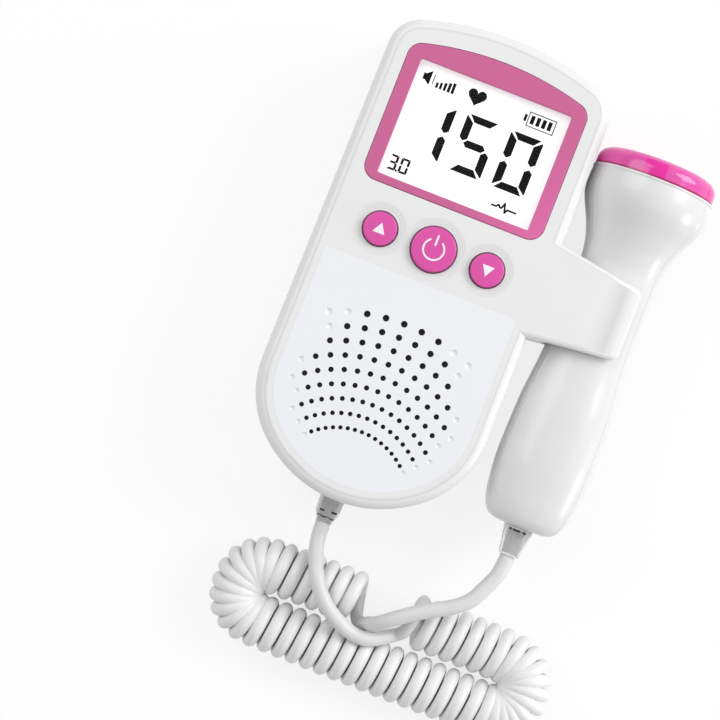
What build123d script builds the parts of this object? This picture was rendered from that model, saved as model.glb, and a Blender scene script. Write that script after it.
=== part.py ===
from build123d import *
import os
from math import pi, radians, sqrt, tan

# Hand-held fetal doppler monitor with a clip-on probe on a curly cord.
# Millimetres. X runs across the monitor, Y towards its display end, Z out of its face.
# The back lies on z = 0. The origin is below the middle of the monitor and probe together.

# Monitor casing
body_length = 138.5
body_width = 67.4
side_taper = 0.8
parting_z = 14.5
wall = 2.0
top_arc_r = 86.0
top_corner_r = 9.5
bottom_rise = 22.48
bottom_corner_r = 28.0
widest_margin = 1.055
face_edge_r = 3.4
back_edge_r = 5.0
lip_thickness = 0.9
lip_height = 1.0
fit_gap = 0.12
top_y = body_length / 2
display_end_width = body_width - 2 * side_taper

# Probe: its head stands beside the widest part of the casing and just clears what the monitor lies on
head_r = 18.0
head_gap = 0.1
head_rest_gap = 0.2
neck_half_width = 11.7
neck_half_depth = 10.2
belly_half_width = 13.8
belly_half_depth = 12.4
tail_half_width = 7.6
tail_half_depth = 6.8
grip_length = 104.8
probe_wall = 1.8
cap_inset = 0.3
cap_length = 5.8
cap_shoulder_r = 3.6
cap_wall = 1.5
cap_spigot_length = 3.0
cap_rise = 40.95
cap_r = head_r - cap_inset
probe_offset = body_width / 2 + head_r + head_gap
probe_axis_z = head_r + head_rest_gap

# Everything across the monitor is measured from the middle line of its casing
body_x = -(probe_offset + head_r - body_width / 2) / 2
probe_x = body_x + probe_offset

# Holder that clips round the probe's neck. Its front arm is flush with the casing's face.
front_arm_thickness = 3.8
back_arm_thickness = 4.0
arm_root_inset = 9.7
arm_root_rise = 15.75
arm_root_drop = 14.05
arm_tip_reach = 7.3
arm_tip_half = 10.35
arm_corner_r = 2.2
arm_edge_r = 1.3
arm_bend_setback = 5.8
arm_bend_r = 42.0
neck_side_gap = 1.2
neck_gap = 0.8
neck_slot_corner_r = 7.5
web_overlap = 1.0
neck_slot_half_width = neck_half_width + neck_side_gap
neck_slot_half_height = neck_half_depth + neck_gap
face_z = probe_axis_z + neck_slot_half_height + front_arm_thickness
holder_back_z = probe_axis_z - neck_slot_half_height - back_arm_thickness
arm_root_x = body_width / 2 - arm_root_inset
arm_tip_x = probe_offset + arm_tip_reach
arm_bend_x = probe_offset - arm_bend_setback

# Display, set down from the end of the casing
window_width = 45.0
window_height = 34.0
bezel_end_gap = 7.55
bezel_top_margin = 7.1
bezel_low_margin = 2.4
bezel_side_margin = 4.2
bezel_arc_r = 90.0
bezel_corner_r = 4.2
bezel_depth = 1.5
pane_margin = 1.25
pane_thickness = 1.0
pad_margin = 1.5
pad_thickness = 1.1
lcd_thickness = 2.1
stack_gap = 0.1
strip_width = 2.0
strip_length = 40.0
lcd_frame_wall = 0.9
lcd_frame_drop = 0.7
bezel_width = window_width + 2 * bezel_side_margin
bezel_top_y = top_y - bezel_end_gap
display_y = bezel_top_y - bezel_top_margin - window_height / 2
bezel_low_y = display_y - window_height / 2 - bezel_low_margin

# Buttons, in a row below the bezel
button_drop = 12.15
button_pitch = 16.0
small_button_r = 4.9
power_button_r = 6.5
button_rise = 1.2
button_edge_r = 0.7
button_flange = 0.9
button_flange_thickness = 1.0
button_gap = 0.2
dish_margin = 2.6
dish_depth = 0.45
button_travel = 0.8
button_boss_r = 2.2
button_y = bezel_low_y - button_drop

# The holder and the probe keep their places beside the row of buttons
arm_top_root_y = button_y + arm_root_rise
arm_top_tip_y = button_y + arm_tip_half
arm_low_root_y = button_y - arm_root_drop
arm_low_tip_y = button_y - arm_tip_half
cap_joint_y = button_y + cap_rise
grip_end_y = cap_joint_y - grip_length

# Switches on the board
board_depth = 9.8
board_thickness = 1.6
board_side_gap = 3.9
board_end_gap = 12.65
board_screw_inset = 3.0
board_screw_margin = 3.9
board_screw_drop = 12.65
board_corner_r = 4.0
switch_size = 6.0
switch_height = 3.5
stem_r = 1.75
stem_gap = 0.1
stem_rise = 0.9
stem_well = 1.9
board_top_z = face_z - board_depth
board_low_z = board_top_z - board_thickness
board_width = display_end_width - 2 * board_side_gap
board_high_y = top_y - board_end_gap
board_screw_y = button_y - board_screw_drop
board_low_y = board_screw_y - board_screw_margin

# Speaker panel
panel_gap = 10.15
panel_inset = 5.7
panel_depth = 1.2
panel_corner_r = 2.0
dimple_depth = 0.35
panel_top_y = button_y - panel_gap
panel_low_y = -top_y + panel_inset

# Loudspeaker, as large as the panel has room for along and across
speaker_end_margin = 5.725
speaker_side_margin = 4.0
speaker_drop = 1.775
speaker_lip = 1.0
speaker_ring_wall = 1.2
speaker_ring_depth = 4.0
gasket_thickness = 0.6
frame_thickness = 1.0
frame_rim = 2.6
basket_r = 10.5
basket_skin = 0.9
magnet_r = 9.0
magnet_thickness = 3.4
magnet_gap = 1.78
cone_skin = 0.5
cone_gap = 1.4
cone_throat_r = 6.0
speaker_y = (panel_top_y + panel_low_y) / 2 - speaker_drop
speaker_r = min((panel_top_y - panel_low_y) / 2 - speaker_end_margin,
                body_width / 2 - panel_inset - speaker_side_margin)
speaker_window_r = speaker_r - speaker_lip

# Fan of holes over the loudspeaker, on rings about a centre below it
fan_origin_drop = 9.2
fan_first_r = 20.2
fan_end_margins = 15.68
fan_angle_step = 5.85
fan_first_hole_r = 0.61
fan_hole_growth = 0.042
fan_columns = (7, 7, 7, 6, 6, 5, 4, 3, 2)
dimple_columns = ((0, 8), (1, 8), (2, 8), (3, 7), (4, 7), (5, 6), (6, 5), (7, 4), (8, 3), (8, 4))
fan_origin_y = speaker_y - speaker_r - fan_origin_drop
fan_row_step = (2 * speaker_r - fan_end_margins) / (len(fan_columns) - 1)

# Cells, compartment and door
cell_r = 7.25
cell_length = 50.5
cell_nub_r = 2.6
cell_nub_length = 1.1
cell_gap = 0.4
cell_side_gap = 0.7
spring_space = 3.46
plate_thickness = 0.4
plate_width = 11.0
spring_r = 3.4
spring_wire_r = 0.35
spring_turns = 3.5
compartment_wall = 1.4
compartment_rise = 16.25
door_thickness = 1.75
door_sink = 0.15
door_gap = 0.15
door_travel = 7.0
tab_reach = 1.2
tab_thickness = 0.9
tab_length = 6.0
tab_drops = (7.0, 25.0, 43.0)
door_land_margin = 2.0
door_land_z = 3.4
thumb_rib_count = 4
thumb_rib_pitch = 2.4
thumb_rib_width = 1.1
thumb_rib_length = 16.0
thumb_rib_rise = 9.0
compartment_half_width = 2 * cell_r + cell_gap / 2 + cell_side_gap
compartment_low_y = -top_y + compartment_rise
compartment_high_y = compartment_low_y + cell_length + spring_space + 2 * (plate_thickness + fit_gap)
thumb_rib_y = compartment_low_y + thumb_rib_rise

# Screws
end_screw_inset = 7.1
end_screw_drop = 9.05
low_screw_x = 25.0
low_screw_rise = 21.25
boss_r = 3.0
rear_boss_r = 3.3
screw_r = 1.25
screw_hole_r = 1.6
pilot_r = 1.3
screw_head_r = 2.1
screw_head_height = 1.6
screw_seat_z = 6.0
counterbore_r = 2.3
screw_tip_gap = 1.5
slot_width = 0.6
board_screw_x = board_width / 2 - board_screw_inset
end_screw_x = display_end_width / 2 - end_screw_inset
end_screw_y = top_y - end_screw_drop
low_screw_y = -top_y + low_screw_rise
board_screw_spots = ((-board_screw_x, board_screw_y), (board_screw_x, board_screw_y))
end_screw_spots = ((-end_screw_x, end_screw_y), (end_screw_x, end_screw_y),
                   (-low_screw_x, low_screw_y), (low_screw_x, low_screw_y))

# Modular plugs and sockets
plug_width = 7.65
plug_height = 6.2
plug_straight = 9.6
plug_taper = 5.4
plug_rear_width = 5.6
plug_rear_height = 5.2
plug_pocket_length = 1.3
plug_pocket_width = 4.2
plug_pocket_depth = 0.9
latch_width = 3.2
latch_thickness = 0.8
latch_length = 9.0
latch_drop = 1.6
contact_pitch = 1.27
contact_width = 0.35
contact_length = 2.4
contact_depth = 1.5
contact_count = 4
socket_margin = 1.575
socket_head_room = 2.2
socket_length = 11.0
socket_gap = 0.15
socket_z = 13.5
socket_offset = -0.7
main_plug_reach = 6.9
probe_plug_reach = 8.6
socket_back = 1.2
socket_drop = 0.2
socket_pin_length = 1.0
port_margin = 0.5
socket_width = plug_width + 2 * socket_margin
socket_height = plug_height + 2 * socket_head_room

# Headphone jack
jack_rise = 7.95
jack_board_gap = 0.3
jack_bore_r = 1.8
jack_nose_r = 2.9
jack_nose_length = 3.2
jack_body_length = 12.0
jack_body_width = 6.4
jack_body_height = 5.6
jack_bore_length = 13.6
jack_inset = 0.1
jack_y = button_y + jack_rise
jack_z = board_low_z - jack_board_gap - jack_body_height / 2

# Probe insides
grip_screw_drops = (18.0, 86.0)
grip_boss_r = 3.5
grip_screw_depth = 7.7
crystal_rim = 3.0
crystal_gap = 1.0
crystal_thickness = 0.8
backing_gap = 1.41
backing_thickness = 3.2
probe_board_width = 12.0
probe_board_thickness = 1.2
probe_board_high_drop = 25.0
probe_board_low_drop = 81.0
probe_board_depth = 3.6
probe_post_drops = (30.0, 75.0)
probe_post_r = 1.6
grip_screw_spots = [cap_joint_y - drop for drop in grip_screw_drops]
grip_screw_seat_z = probe_axis_z - grip_screw_depth
probe_board_z = probe_axis_z - probe_board_depth
probe_post_spots = [cap_joint_y - drop for drop in probe_post_drops]

# Grip from head to tail: share of its length, then for its width and its depth the share of the way from one
# named section to the next, and how round the section's corners are
head = (head_r, head_r)
neck = (neck_half_width, neck_half_depth)
belly = (belly_half_width, belly_half_depth)
tail = (tail_half_width, tail_half_depth)
grip_stations = (
    (0.0, (cap_r, cap_r), head, 0.0, 0.0, 0.97),
    (0.0429, head, neck, 0.0, 0.0, 0.97),
    (0.1021, head, neck, 0.222, 0.205, 0.96),
    (0.1565, head, neck, 0.635, 0.564, 0.94),
    (0.2052, head, neck, 0.905, 0.82, 0.92),
    (0.2576, head, neck, 1.0, 0.962, 0.90),
    (0.3912, neck, belly, 0.0, 0.0, 0.86),
    (0.5248, neck, belly, 0.238, 0.136, 0.80),
    (0.6775, neck, belly, 0.905, 0.818, 0.72),
    (0.8111, belly, tail, 0.0, 0.0, 0.70),
    (0.9208, belly, tail, 0.145, 0.161, 0.70),
    (0.9695, belly, tail, 0.355, 0.375, 0.70),
    (0.9924, belly, tail, 0.645, 0.661, 0.70),
    (1.0, belly, tail, 1.0, 1.0, 0.70),
)

# Cord
cord_r = 2.2
coil_r = 7.5
lead_straight = 5.6
lead_run_in = 0.8
back_row_y = -94.6
front_row_y = -111.9
coil_right_x = 54.0
coil_left_x = -35.3
coil_start_x = 22.0
coil_end_x = 9.0


# Which point of a box or cylinder stands on its location
FROM_LOW_Z = (Align.CENTER, Align.CENTER, Align.MIN)
FROM_TOP_Z = (Align.CENTER, Align.CENTER, Align.MAX)
FROM_LOW_Y = (Align.CENTER, Align.MIN, Align.CENTER)
FROM_HIGH_Y = (Align.CENTER, Align.MAX, Align.MIN)
FROM_LOW_Y_TOP_Z = (Align.CENTER, Align.MIN, Align.MAX)
FROM_HIGH_Y_TOP_Z = (Align.CENTER, Align.MAX, Align.MAX)


def at_body(x, y):
    return (body_x + x, y)


def arc_drop(radius, half_chord):
    return radius - sqrt(radius ** 2 - half_chord ** 2)


def widest_height():
    # The sides lean in from just above the place where the bottom corners' rounds meet them
    bottom_arc_r = ((body_width / 2) ** 2 + bottom_rise ** 2) / (2 * bottom_rise)
    round_centre_rise = bottom_arc_r - sqrt((bottom_arc_r - bottom_corner_r) ** 2
                                            - (body_width / 2 - bottom_corner_r) ** 2)
    return -top_y + round_centre_rise + widest_margin


def body_outline(inset=0.0):
    # A shallow arc at the top, nearly straight sides and a round bottom end
    shoulder_x = display_end_width / 2
    shoulder_y = top_y - arc_drop(top_arc_r, shoulder_x)
    side_x = body_width / 2
    widest_y = widest_height()
    low_y = -top_y + bottom_rise
    with BuildSketch(mode=Mode.PRIVATE) as outline:
        with BuildLine():
            ThreePointArc(at_body(-shoulder_x, shoulder_y), at_body(0, top_y),
                          at_body(shoulder_x, shoulder_y))
            Polyline(at_body(shoulder_x, shoulder_y), at_body(side_x, widest_y), at_body(side_x, low_y))
            ThreePointArc(at_body(side_x, low_y), at_body(0, -top_y), at_body(-side_x, low_y))
            Polyline(at_body(-side_x, low_y), at_body(-side_x, widest_y), at_body(-shoulder_x, shoulder_y))
        make_face()
        fillet(outline.vertices().group_by(Axis.Y)[-1], top_corner_r)
        fillet(outline.vertices().group_by(Axis.Y)[0], bottom_corner_r)
        if inset:
            offset(amount=-inset)
    return outline.sketch


def bezel_outline(margin=0.0):
    half = bezel_width / 2
    shoulder_y = bezel_top_y - arc_drop(bezel_arc_r, half)
    with BuildSketch(mode=Mode.PRIVATE) as outline:
        with BuildLine():
            ThreePointArc(at_body(-half, shoulder_y), at_body(0, bezel_top_y), at_body(half, shoulder_y))
            Polyline(at_body(half, shoulder_y), at_body(half, bezel_low_y), at_body(-half, bezel_low_y),
                     at_body(-half, shoulder_y))
        make_face()
        fillet(outline.vertices(), bezel_corner_r)
        if margin:
            offset(amount=margin)
    return outline.sketch


def panel_outline(inset=0.0):
    with BuildSketch(mode=Mode.PRIVATE) as outline:
        add(body_outline(panel_inset))
        with Locations(at_body(0, panel_top_y + top_y)):
            Rectangle(2 * body_width, body_length, mode=Mode.SUBTRACT)
        fillet(outline.vertices().group_by(Axis.Y)[-1], panel_corner_r)
        if inset:
            offset(amount=-inset)
    return outline.sketch


def arm_outline():
    with BuildSketch(mode=Mode.PRIVATE) as outline:
        with BuildLine():
            Polyline(at_body(arm_root_x, arm_top_root_y), at_body(arm_tip_x, arm_top_tip_y),
                     at_body(arm_tip_x, arm_low_tip_y), at_body(arm_root_x, arm_low_root_y), close=True)
        make_face()
        fillet(outline.vertices().group_by(Axis.X)[-1], arm_corner_r)
    return outline.sketch


def fan_spots(column_sets):
    # Holes lie on rings about one centre, at equal angles either side of the middle line
    spots = []
    for row, column in column_sets:
        for side in ((0,) if column == 0 else (-1, 1)):
            spot = Vector(0, fan_first_r + row * fan_row_step).rotate(Axis.Z, side * column * fan_angle_step)
            spots.append((row, at_body(spot.X, fan_origin_y + spot.Y)))
    return spots


def fan_holes(column_sets):
    with BuildSketch(mode=Mode.PRIVATE) as holes:
        for row, spot in fan_spots(column_sets):
            with Locations(spot):
                Circle(fan_first_hole_r + row * fan_hole_growth)
    return holes.sketch


def arm_profile():
    # Side view of the holder: two arms that curve in towards their tips, with the neck's slot between them
    root_x, bend_x, tip_x = (body_x + x for x in (arm_root_x, arm_bend_x, arm_tip_x))
    tip_drop = arc_drop(arm_bend_r, tip_x - bend_x)
    with BuildSketch(Plane.XZ, mode=Mode.PRIVATE) as profile:
        with BuildLine():
            Polyline((bend_x, holder_back_z), (root_x, holder_back_z), (root_x, face_z), (bend_x, face_z))
            TangentArc((bend_x, face_z), (tip_x, face_z - tip_drop), tangent=(1, 0))
            Line((tip_x, face_z - tip_drop), (tip_x, holder_back_z + tip_drop))
            TangentArc((bend_x, holder_back_z), (tip_x, holder_back_z + tip_drop), tangent=(1, 0))
        make_face()
        with Locations((probe_x, probe_axis_z)):
            RectangleRounded(2 * neck_slot_half_width, 2 * neck_slot_half_height, neck_slot_corner_r,
                             mode=Mode.SUBTRACT)
            Rectangle(probe_offset, 2 * neck_slot_half_height, align=(Align.MIN, Align.CENTER),
                      mode=Mode.SUBTRACT)
    return profile.sketch


def socket_space(x, z, mouth_y):
    # Room for a modular socket, whose mouth lies just inside a wall
    with BuildPart() as space:
        with Locations((x, mouth_y - fit_gap, z - socket_drop)):
            Box(socket_width + 2 * fit_gap, socket_length + 2 * fit_gap, socket_height + 2 * fit_gap,
                align=FROM_LOW_Y)
    return space.part


socket_x = body_x + socket_offset
main_mouth_y = -top_y + wall + fit_gap
port_width = plug_width + 2 * port_margin
port_low_z = socket_z - plug_height / 2 - latch_drop - port_margin
port_height = plug_height + latch_drop + 2 * port_margin
screw_spots = [at_body(*spot) for spot in board_screw_spots + end_screw_spots]
pilot_length = face_z - wall - board_top_z - screw_tip_gap / 2

# Holder for the probe's neck: a front arm, a back arm and the web that joins them
with BuildPart() as holder:
    extrude(arm_profile(), amount=body_length, both=True)
    with BuildSketch():
        add(arm_outline())
    extrude(amount=2 * face_z, mode=Mode.INTERSECT)
    outer_z = (holder_back_z + 0.6 * back_arm_thickness, face_z - 0.6 * front_arm_thickness)
    plain_x = (body_x + arm_root_x, body_x + arm_bend_x)
    rims = holder.edges().filter_by(lambda e: not outer_z[0] < e.center().Z < outer_z[1])
    fillet(rims.filter_by(lambda e: min(abs(e.center().X - x) for x in plain_x) > 0.1), arm_edge_r)

holder_web = neck_slot_half_width + wall
with BuildPart() as holder_hollow:
    with BuildSketch(Plane.XY.offset(holder_back_z + wall)):
        with Locations(at_body(body_width / 2 - wall - web_overlap, button_y)):
            Rectangle(probe_offset - holder_web - body_width / 2 + wall + web_overlap,
                      2 * arm_tip_half, align=(Align.MIN, Align.CENTER))
    extrude(amount=face_z - holder_back_z - 2 * wall)

with BuildPart() as front_cover:
    with BuildSketch(Plane.XY.offset(parting_z)):
        add(body_outline())
    extrude(amount=face_z - parting_z)
    fillet(front_cover.edges().group_by(Axis.Z)[-1], face_edge_r)
    add(split(holder.part, bisect_by=Plane.XY.offset(parting_z), keep=Keep.TOP, mode=Mode.PRIVATE))
    with BuildSketch(Plane.XY.offset(parting_z)):
        add(body_outline(wall))
    extrude(amount=face_z - wall - parting_z, mode=Mode.SUBTRACT)
    add(holder_hollow.part, mode=Mode.SUBTRACT)
    # Thicker pad round the display, recess for the bezel and the opening behind it
    with BuildSketch(Plane.XY.offset(face_z - wall - pad_thickness)):
        add(bezel_outline(pad_margin))
    extrude(amount=pad_thickness)
    with BuildSketch(Plane.XY.offset(face_z - bezel_depth)):
        add(bezel_outline(fit_gap))
    extrude(amount=bezel_depth, mode=Mode.SUBTRACT)
    with BuildSketch(Plane.XY.offset(face_z - wall - pad_thickness)):
        with Locations(at_body(0, display_y)):
            Rectangle(window_width + 2 * (pane_margin + fit_gap), window_height + 2 * (pane_margin + fit_gap))
    extrude(amount=wall + pad_thickness, mode=Mode.SUBTRACT)
    # Ring that centres the loudspeaker, recess for the grille panel and the round opening behind it
    with BuildSketch(Plane.XY.offset(face_z - wall)):
        with Locations(at_body(0, speaker_y)):
            Circle(speaker_r + fit_gap + speaker_ring_wall)
            Circle(speaker_r + fit_gap, mode=Mode.SUBTRACT)
    extrude(amount=-speaker_ring_depth)
    with BuildSketch(Plane.XY.offset(face_z - panel_depth)):
        add(panel_outline())
    extrude(amount=panel_depth, mode=Mode.SUBTRACT)
    with BuildSketch(Plane.XY.offset(face_z - wall)):
        with Locations(at_body(0, speaker_y)):
            Circle(speaker_window_r)
    extrude(amount=wall, mode=Mode.SUBTRACT)
    # Shallow dish and a hole for each button
    for x, button_r in ((-button_pitch, small_button_r), (0, power_button_r), (button_pitch, small_button_r)):
        dish_r = ((button_r + dish_margin) ** 2 + dish_depth ** 2) / (2 * dish_depth)
        with Locations((body_x + x, button_y, face_z + dish_r - dish_depth)):
            Sphere(dish_r, mode=Mode.SUBTRACT)
        with Locations((body_x + x, button_y, face_z)):
            Cylinder(button_r + button_gap, 4 * wall, mode=Mode.SUBTRACT)
    # Bosses that the screws bite into, down to the board or to the rear cover's bosses
    with BuildSketch(Plane.XY.offset(board_top_z)):
        with Locations(screw_spots):
            Circle(boss_r)
    extrude(amount=face_z - wall - board_top_z)
    with BuildSketch(Plane.XY.offset(board_top_z)):
        with Locations(screw_spots):
            Circle(pilot_r)
    extrude(amount=pilot_length, mode=Mode.SUBTRACT)
    with BuildSketch(Plane.YZ.offset(body_x - body_width)):
        with Locations((jack_y, jack_z)):
            Circle(jack_nose_r + fit_gap)
    extrude(amount=body_width, mode=Mode.SUBTRACT)
    add(socket_space(socket_x, socket_z, main_mouth_y), mode=Mode.SUBTRACT)
    with Locations((socket_x, -top_y, port_low_z)):
        Box(port_width, 4 * wall, port_height, align=FROM_LOW_Z, mode=Mode.SUBTRACT)

# The battery door lies in a channel that runs out at the bottom end. Tabs on its long sides reach under the
# channel's edges. When the door has slid by its travel they stand over notches, and it lifts off.
channel_half = compartment_half_width + compartment_wall
channel_high_y = compartment_high_y + compartment_wall
channel_top_z = door_sink + door_thickness + fit_gap
tab_top_z = door_sink + door_thickness
tab_low_z = tab_top_z - tab_thickness
tab_half = channel_half + tab_reach


def door_plate(gap, low_z, top_z):
    with BuildPart() as plate:
        with Locations((body_x, channel_high_y - gap, low_z)):
            Box(2 * (channel_half - gap), body_length, top_z - low_z, align=FROM_HIGH_Y)
    return plate.part


def door_tabs(gap, slid, length, low_z, top_z):
    with BuildPart() as tabs:
        with Locations([(body_x, compartment_high_y - drop + tab_length / 2 + gap - slid, low_z)
                        for drop in tab_drops]):
            Box(2 * (tab_half + gap), length + 2 * gap, top_z - low_z, align=FROM_HIGH_Y)
    return tabs.part


with BuildPart() as back_blank:
    with BuildSketch():
        add(body_outline())
    extrude(amount=parting_z)
    fillet(back_blank.edges().group_by(Axis.Z)[0], back_edge_r)

with BuildPart() as door_land:
    add(back_blank.part)
    with Locations((body_x, channel_high_y + wall, 0)):
        Box(2 * (tab_half + door_land_margin), body_length, door_land_z,
            align=FROM_HIGH_Y, mode=Mode.INTERSECT)

# Bosses that the screws pass through from the back, trimmed to the inside of the casing, and the socket's
# seat
with BuildPart() as rear_bosses:
    for spots, top_z in ((board_screw_spots, board_low_z), (end_screw_spots, board_top_z)):
        with BuildSketch(Plane.XY.offset(wall)):
            with Locations([at_body(*spot) for spot in spots]):
                Circle(rear_boss_r)
        extrude(amount=top_z - wall)
    with Locations((socket_x, main_mouth_y, wall)):
        Box(socket_width, socket_length, socket_z - socket_drop - socket_height / 2 - wall,
            align=(Align.CENTER, Align.MIN, Align.MIN))
    with BuildSketch():
        add(body_outline(wall + fit_gap))
    extrude(amount=face_z, mode=Mode.INTERSECT)

compartment_top_z = channel_top_z + cell_gap + 2 * cell_r + cell_gap
with BuildPart() as rear_cover:
    add(back_blank.part)
    add(split(holder.part, bisect_by=Plane.XY.offset(parting_z), keep=Keep.BOTTOM, mode=Mode.PRIVATE))
    with BuildSketch(Plane.XY.offset(wall)):
        add(body_outline(wall))
    extrude(amount=parting_z - wall, mode=Mode.SUBTRACT)
    add(holder_hollow.part, mode=Mode.SUBTRACT)
    add(door_land.part)
    # Lip that locates the front cover
    with BuildSketch(Plane.XY.offset(parting_z - wall)):
        add(body_outline(wall - fit_gap))
        add(body_outline(wall + fit_gap + lip_thickness), mode=Mode.SUBTRACT)
    extrude(amount=wall)
    with BuildSketch(Plane.XY.offset(parting_z)):
        add(body_outline(wall + fit_gap))
        add(body_outline(wall + fit_gap + lip_thickness), mode=Mode.SUBTRACT)
    extrude(amount=lip_height)
    # Compartment box
    with Locations((body_x, (compartment_low_y + compartment_high_y) / 2, wall)):
        Box(2 * channel_half, compartment_high_y - compartment_low_y + 2 * compartment_wall,
            compartment_top_z + compartment_wall - wall, align=FROM_LOW_Z)
    with Locations((body_x, (compartment_low_y + compartment_high_y) / 2, 0)):
        Box(2 * compartment_half_width, compartment_high_y - compartment_low_y, compartment_top_z,
            align=FROM_LOW_Z, mode=Mode.SUBTRACT)
    add(door_plate(0, -wall, channel_top_z), mode=Mode.SUBTRACT)
    tab_way = door_tabs(door_gap, 0, tab_length + door_travel, tab_low_z - fit_gap, channel_top_z)
    add(tab_way, mode=Mode.SUBTRACT)
    add(door_tabs(door_gap, door_travel, tab_length, -wall, channel_top_z), mode=Mode.SUBTRACT)
    add(rear_bosses.part)
    with Locations([(x, y, 0) for x, y in screw_spots]):
        Cylinder(screw_hole_r, 2 * board_top_z, mode=Mode.SUBTRACT)
        Cylinder(counterbore_r, 2 * screw_seat_z, mode=Mode.SUBTRACT)
    add(socket_space(socket_x, socket_z, main_mouth_y), mode=Mode.SUBTRACT)
    with Locations((socket_x, -top_y, port_low_z)):
        Box(port_width, 4 * wall, port_height, align=FROM_LOW_Z, mode=Mode.SUBTRACT)

with BuildPart() as battery_door:
    add(door_plate(door_gap, door_sink, tab_top_z))
    add(door_tabs(0, 0, tab_length, tab_low_z, tab_top_z))
    add(back_blank.part, mode=Mode.INTERSECT)
    for rib in range(thumb_rib_count):
        with Locations((body_x, thumb_rib_y + rib * thumb_rib_pitch, door_sink)):
            Box(thumb_rib_length, thumb_rib_width, thumb_rib_width, mode=Mode.SUBTRACT)


def screw(spots, seat_z, tip_z):
    # Pan-head screws driven from the back
    with BuildPart() as screws:
        with Locations([(x, y, seat_z) for x, y in spots]):
            Cylinder(screw_head_r, screw_head_height, align=FROM_TOP_Z)
            Cylinder(screw_r, tip_z - seat_z, align=FROM_LOW_Z)
        with Locations([(x, y, seat_z - screw_head_height) for x, y in spots]):
            Box(2 * screw_head_r, slot_width, screw_head_height, mode=Mode.SUBTRACT)
            Box(slot_width, 2 * screw_head_r, screw_head_height, mode=Mode.SUBTRACT)
    return screws


housing_screws = screw(screw_spots, screw_seat_z, board_top_z + pilot_length - screw_tip_gap)

# Display stack, from the bezel down to the board
pane_top_z = face_z - bezel_depth - stack_gap / 2
lcd_top_z = pane_top_z - pane_thickness - stack_gap
light_top_z = lcd_top_z - lcd_thickness - stack_gap
pane_width = window_width + 2 * pane_margin
pane_height = window_height + 2 * pane_margin
strip_y = display_y - pane_height / 2 + strip_width / 2 + stack_gap

with BuildPart() as display_bezel:
    with BuildSketch(Plane.XY.offset(face_z - bezel_depth)):
        add(bezel_outline())
        with Locations(at_body(0, display_y)):
            Rectangle(window_width, window_height, mode=Mode.SUBTRACT)
    extrude(amount=bezel_depth)

with BuildPart() as display_window:
    with Locations((body_x, display_y, pane_top_z)):
        Box(pane_width, pane_height, pane_thickness, align=FROM_TOP_Z)

with BuildPart() as lcd_glass:
    with Locations((body_x, display_y, lcd_top_z)):
        Box(pane_width, pane_height, lcd_thickness, align=FROM_TOP_Z)

with BuildPart() as lcd_backlight:
    with Locations((body_x, display_y + pane_height / 2, board_top_z)):
        Box(pane_width, pane_height - strip_width - 3 * stack_gap, light_top_z - board_top_z,
            align=FROM_HIGH_Y)

with BuildPart() as contact_strip:
    with Locations((body_x, strip_y, board_top_z)):
        Box(strip_length, strip_width, lcd_top_z - lcd_thickness - board_top_z,
            align=FROM_LOW_Z)

with BuildPart() as lcd_frame:
    with BuildSketch(Plane.XY.offset(board_top_z)):
        with Locations(at_body(0, display_y)):
            frame_inner = (pane_width + 2 * fit_gap, pane_height + 2 * fit_gap)
            Rectangle(frame_inner[0] + 2 * lcd_frame_wall, frame_inner[1] + 2 * lcd_frame_wall)
            Rectangle(*frame_inner, mode=Mode.SUBTRACT)
    extrude(amount=lcd_top_z - lcd_frame_drop - board_top_z)

# Circuit board and what is on it; its chips are under the display and by the buttons
with BuildPart() as main_board:
    with BuildSketch(Plane.XY.offset(board_low_z)):
        with Locations(at_body(0, (board_low_y + board_high_y) / 2)):
            RectangleRounded(board_width, board_high_y - board_low_y, board_corner_r)
        with Locations([at_body(*spot) for spot in board_screw_spots]):
            Circle(screw_hole_r, mode=Mode.SUBTRACT)
    extrude(amount=board_thickness)

chip_sizes = (
    ((0.0, display_y + 2.4), (12.0, 12.0, 1.6)),
    ((-16.0, display_y - 3.6), (6.0, 8.0, 1.5)),
    ((15.0, display_y + 10.4), (5.0, 6.4, 1.5)),
    ((13.0, display_y - 7.6), (4.6, 11.0, 3.4)),
    ((6.0, button_y + 2.95), (8.0, 6.0, 2.8)),
)
with BuildPart() as board_chips:
    for (x, y), (size_x, size_y, size_z) in chip_sizes:
        with Locations((body_x + x, y, board_low_z)):
            Box(size_x, size_y, size_z, align=FROM_TOP_Z)

switch_xs = (-button_pitch, 0, button_pitch)
stem_low_z = board_top_z + stem_well
stem_top_z = board_top_z + switch_height + stem_rise
with BuildPart() as tact_switches:
    with Locations([(body_x + x, button_y, board_top_z) for x in switch_xs]):
        Box(switch_size, switch_size, switch_height, align=FROM_LOW_Z)
    with Locations([(body_x + x, button_y, stem_low_z - button_travel - stem_gap) for x in switch_xs]):
        Cylinder(stem_r + stem_gap, switch_height, align=FROM_LOW_Z,
                 mode=Mode.SUBTRACT)


def switch_stem(x):
    with BuildPart() as stem:
        with Locations((body_x + x, button_y, stem_low_z)):
            Cylinder(stem_r, stem_top_z - stem_low_z, align=FROM_LOW_Z)
    return stem


def push_button(x, button_r):
    # Cap through the cover, flange that the cover holds in, boss that rests on the switch stem
    flange_top_z = face_z - wall - button_gap
    with BuildPart() as button:
        with Locations((body_x + x, button_y, flange_top_z - button_flange_thickness)):
            Cylinder(button_r, face_z + button_rise - flange_top_z + button_flange_thickness,
                     align=FROM_LOW_Z)
        fillet(button.edges().group_by(Axis.Z)[-1], button_edge_r)
        with Locations((body_x + x, button_y, flange_top_z)):
            Cylinder(button_r + button_flange, button_flange_thickness,
                     align=FROM_TOP_Z)
        with Locations((body_x + x, button_y, stem_top_z)):
            Cylinder(button_boss_r, flange_top_z - stem_top_z, align=FROM_LOW_Z)
    return button


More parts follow.
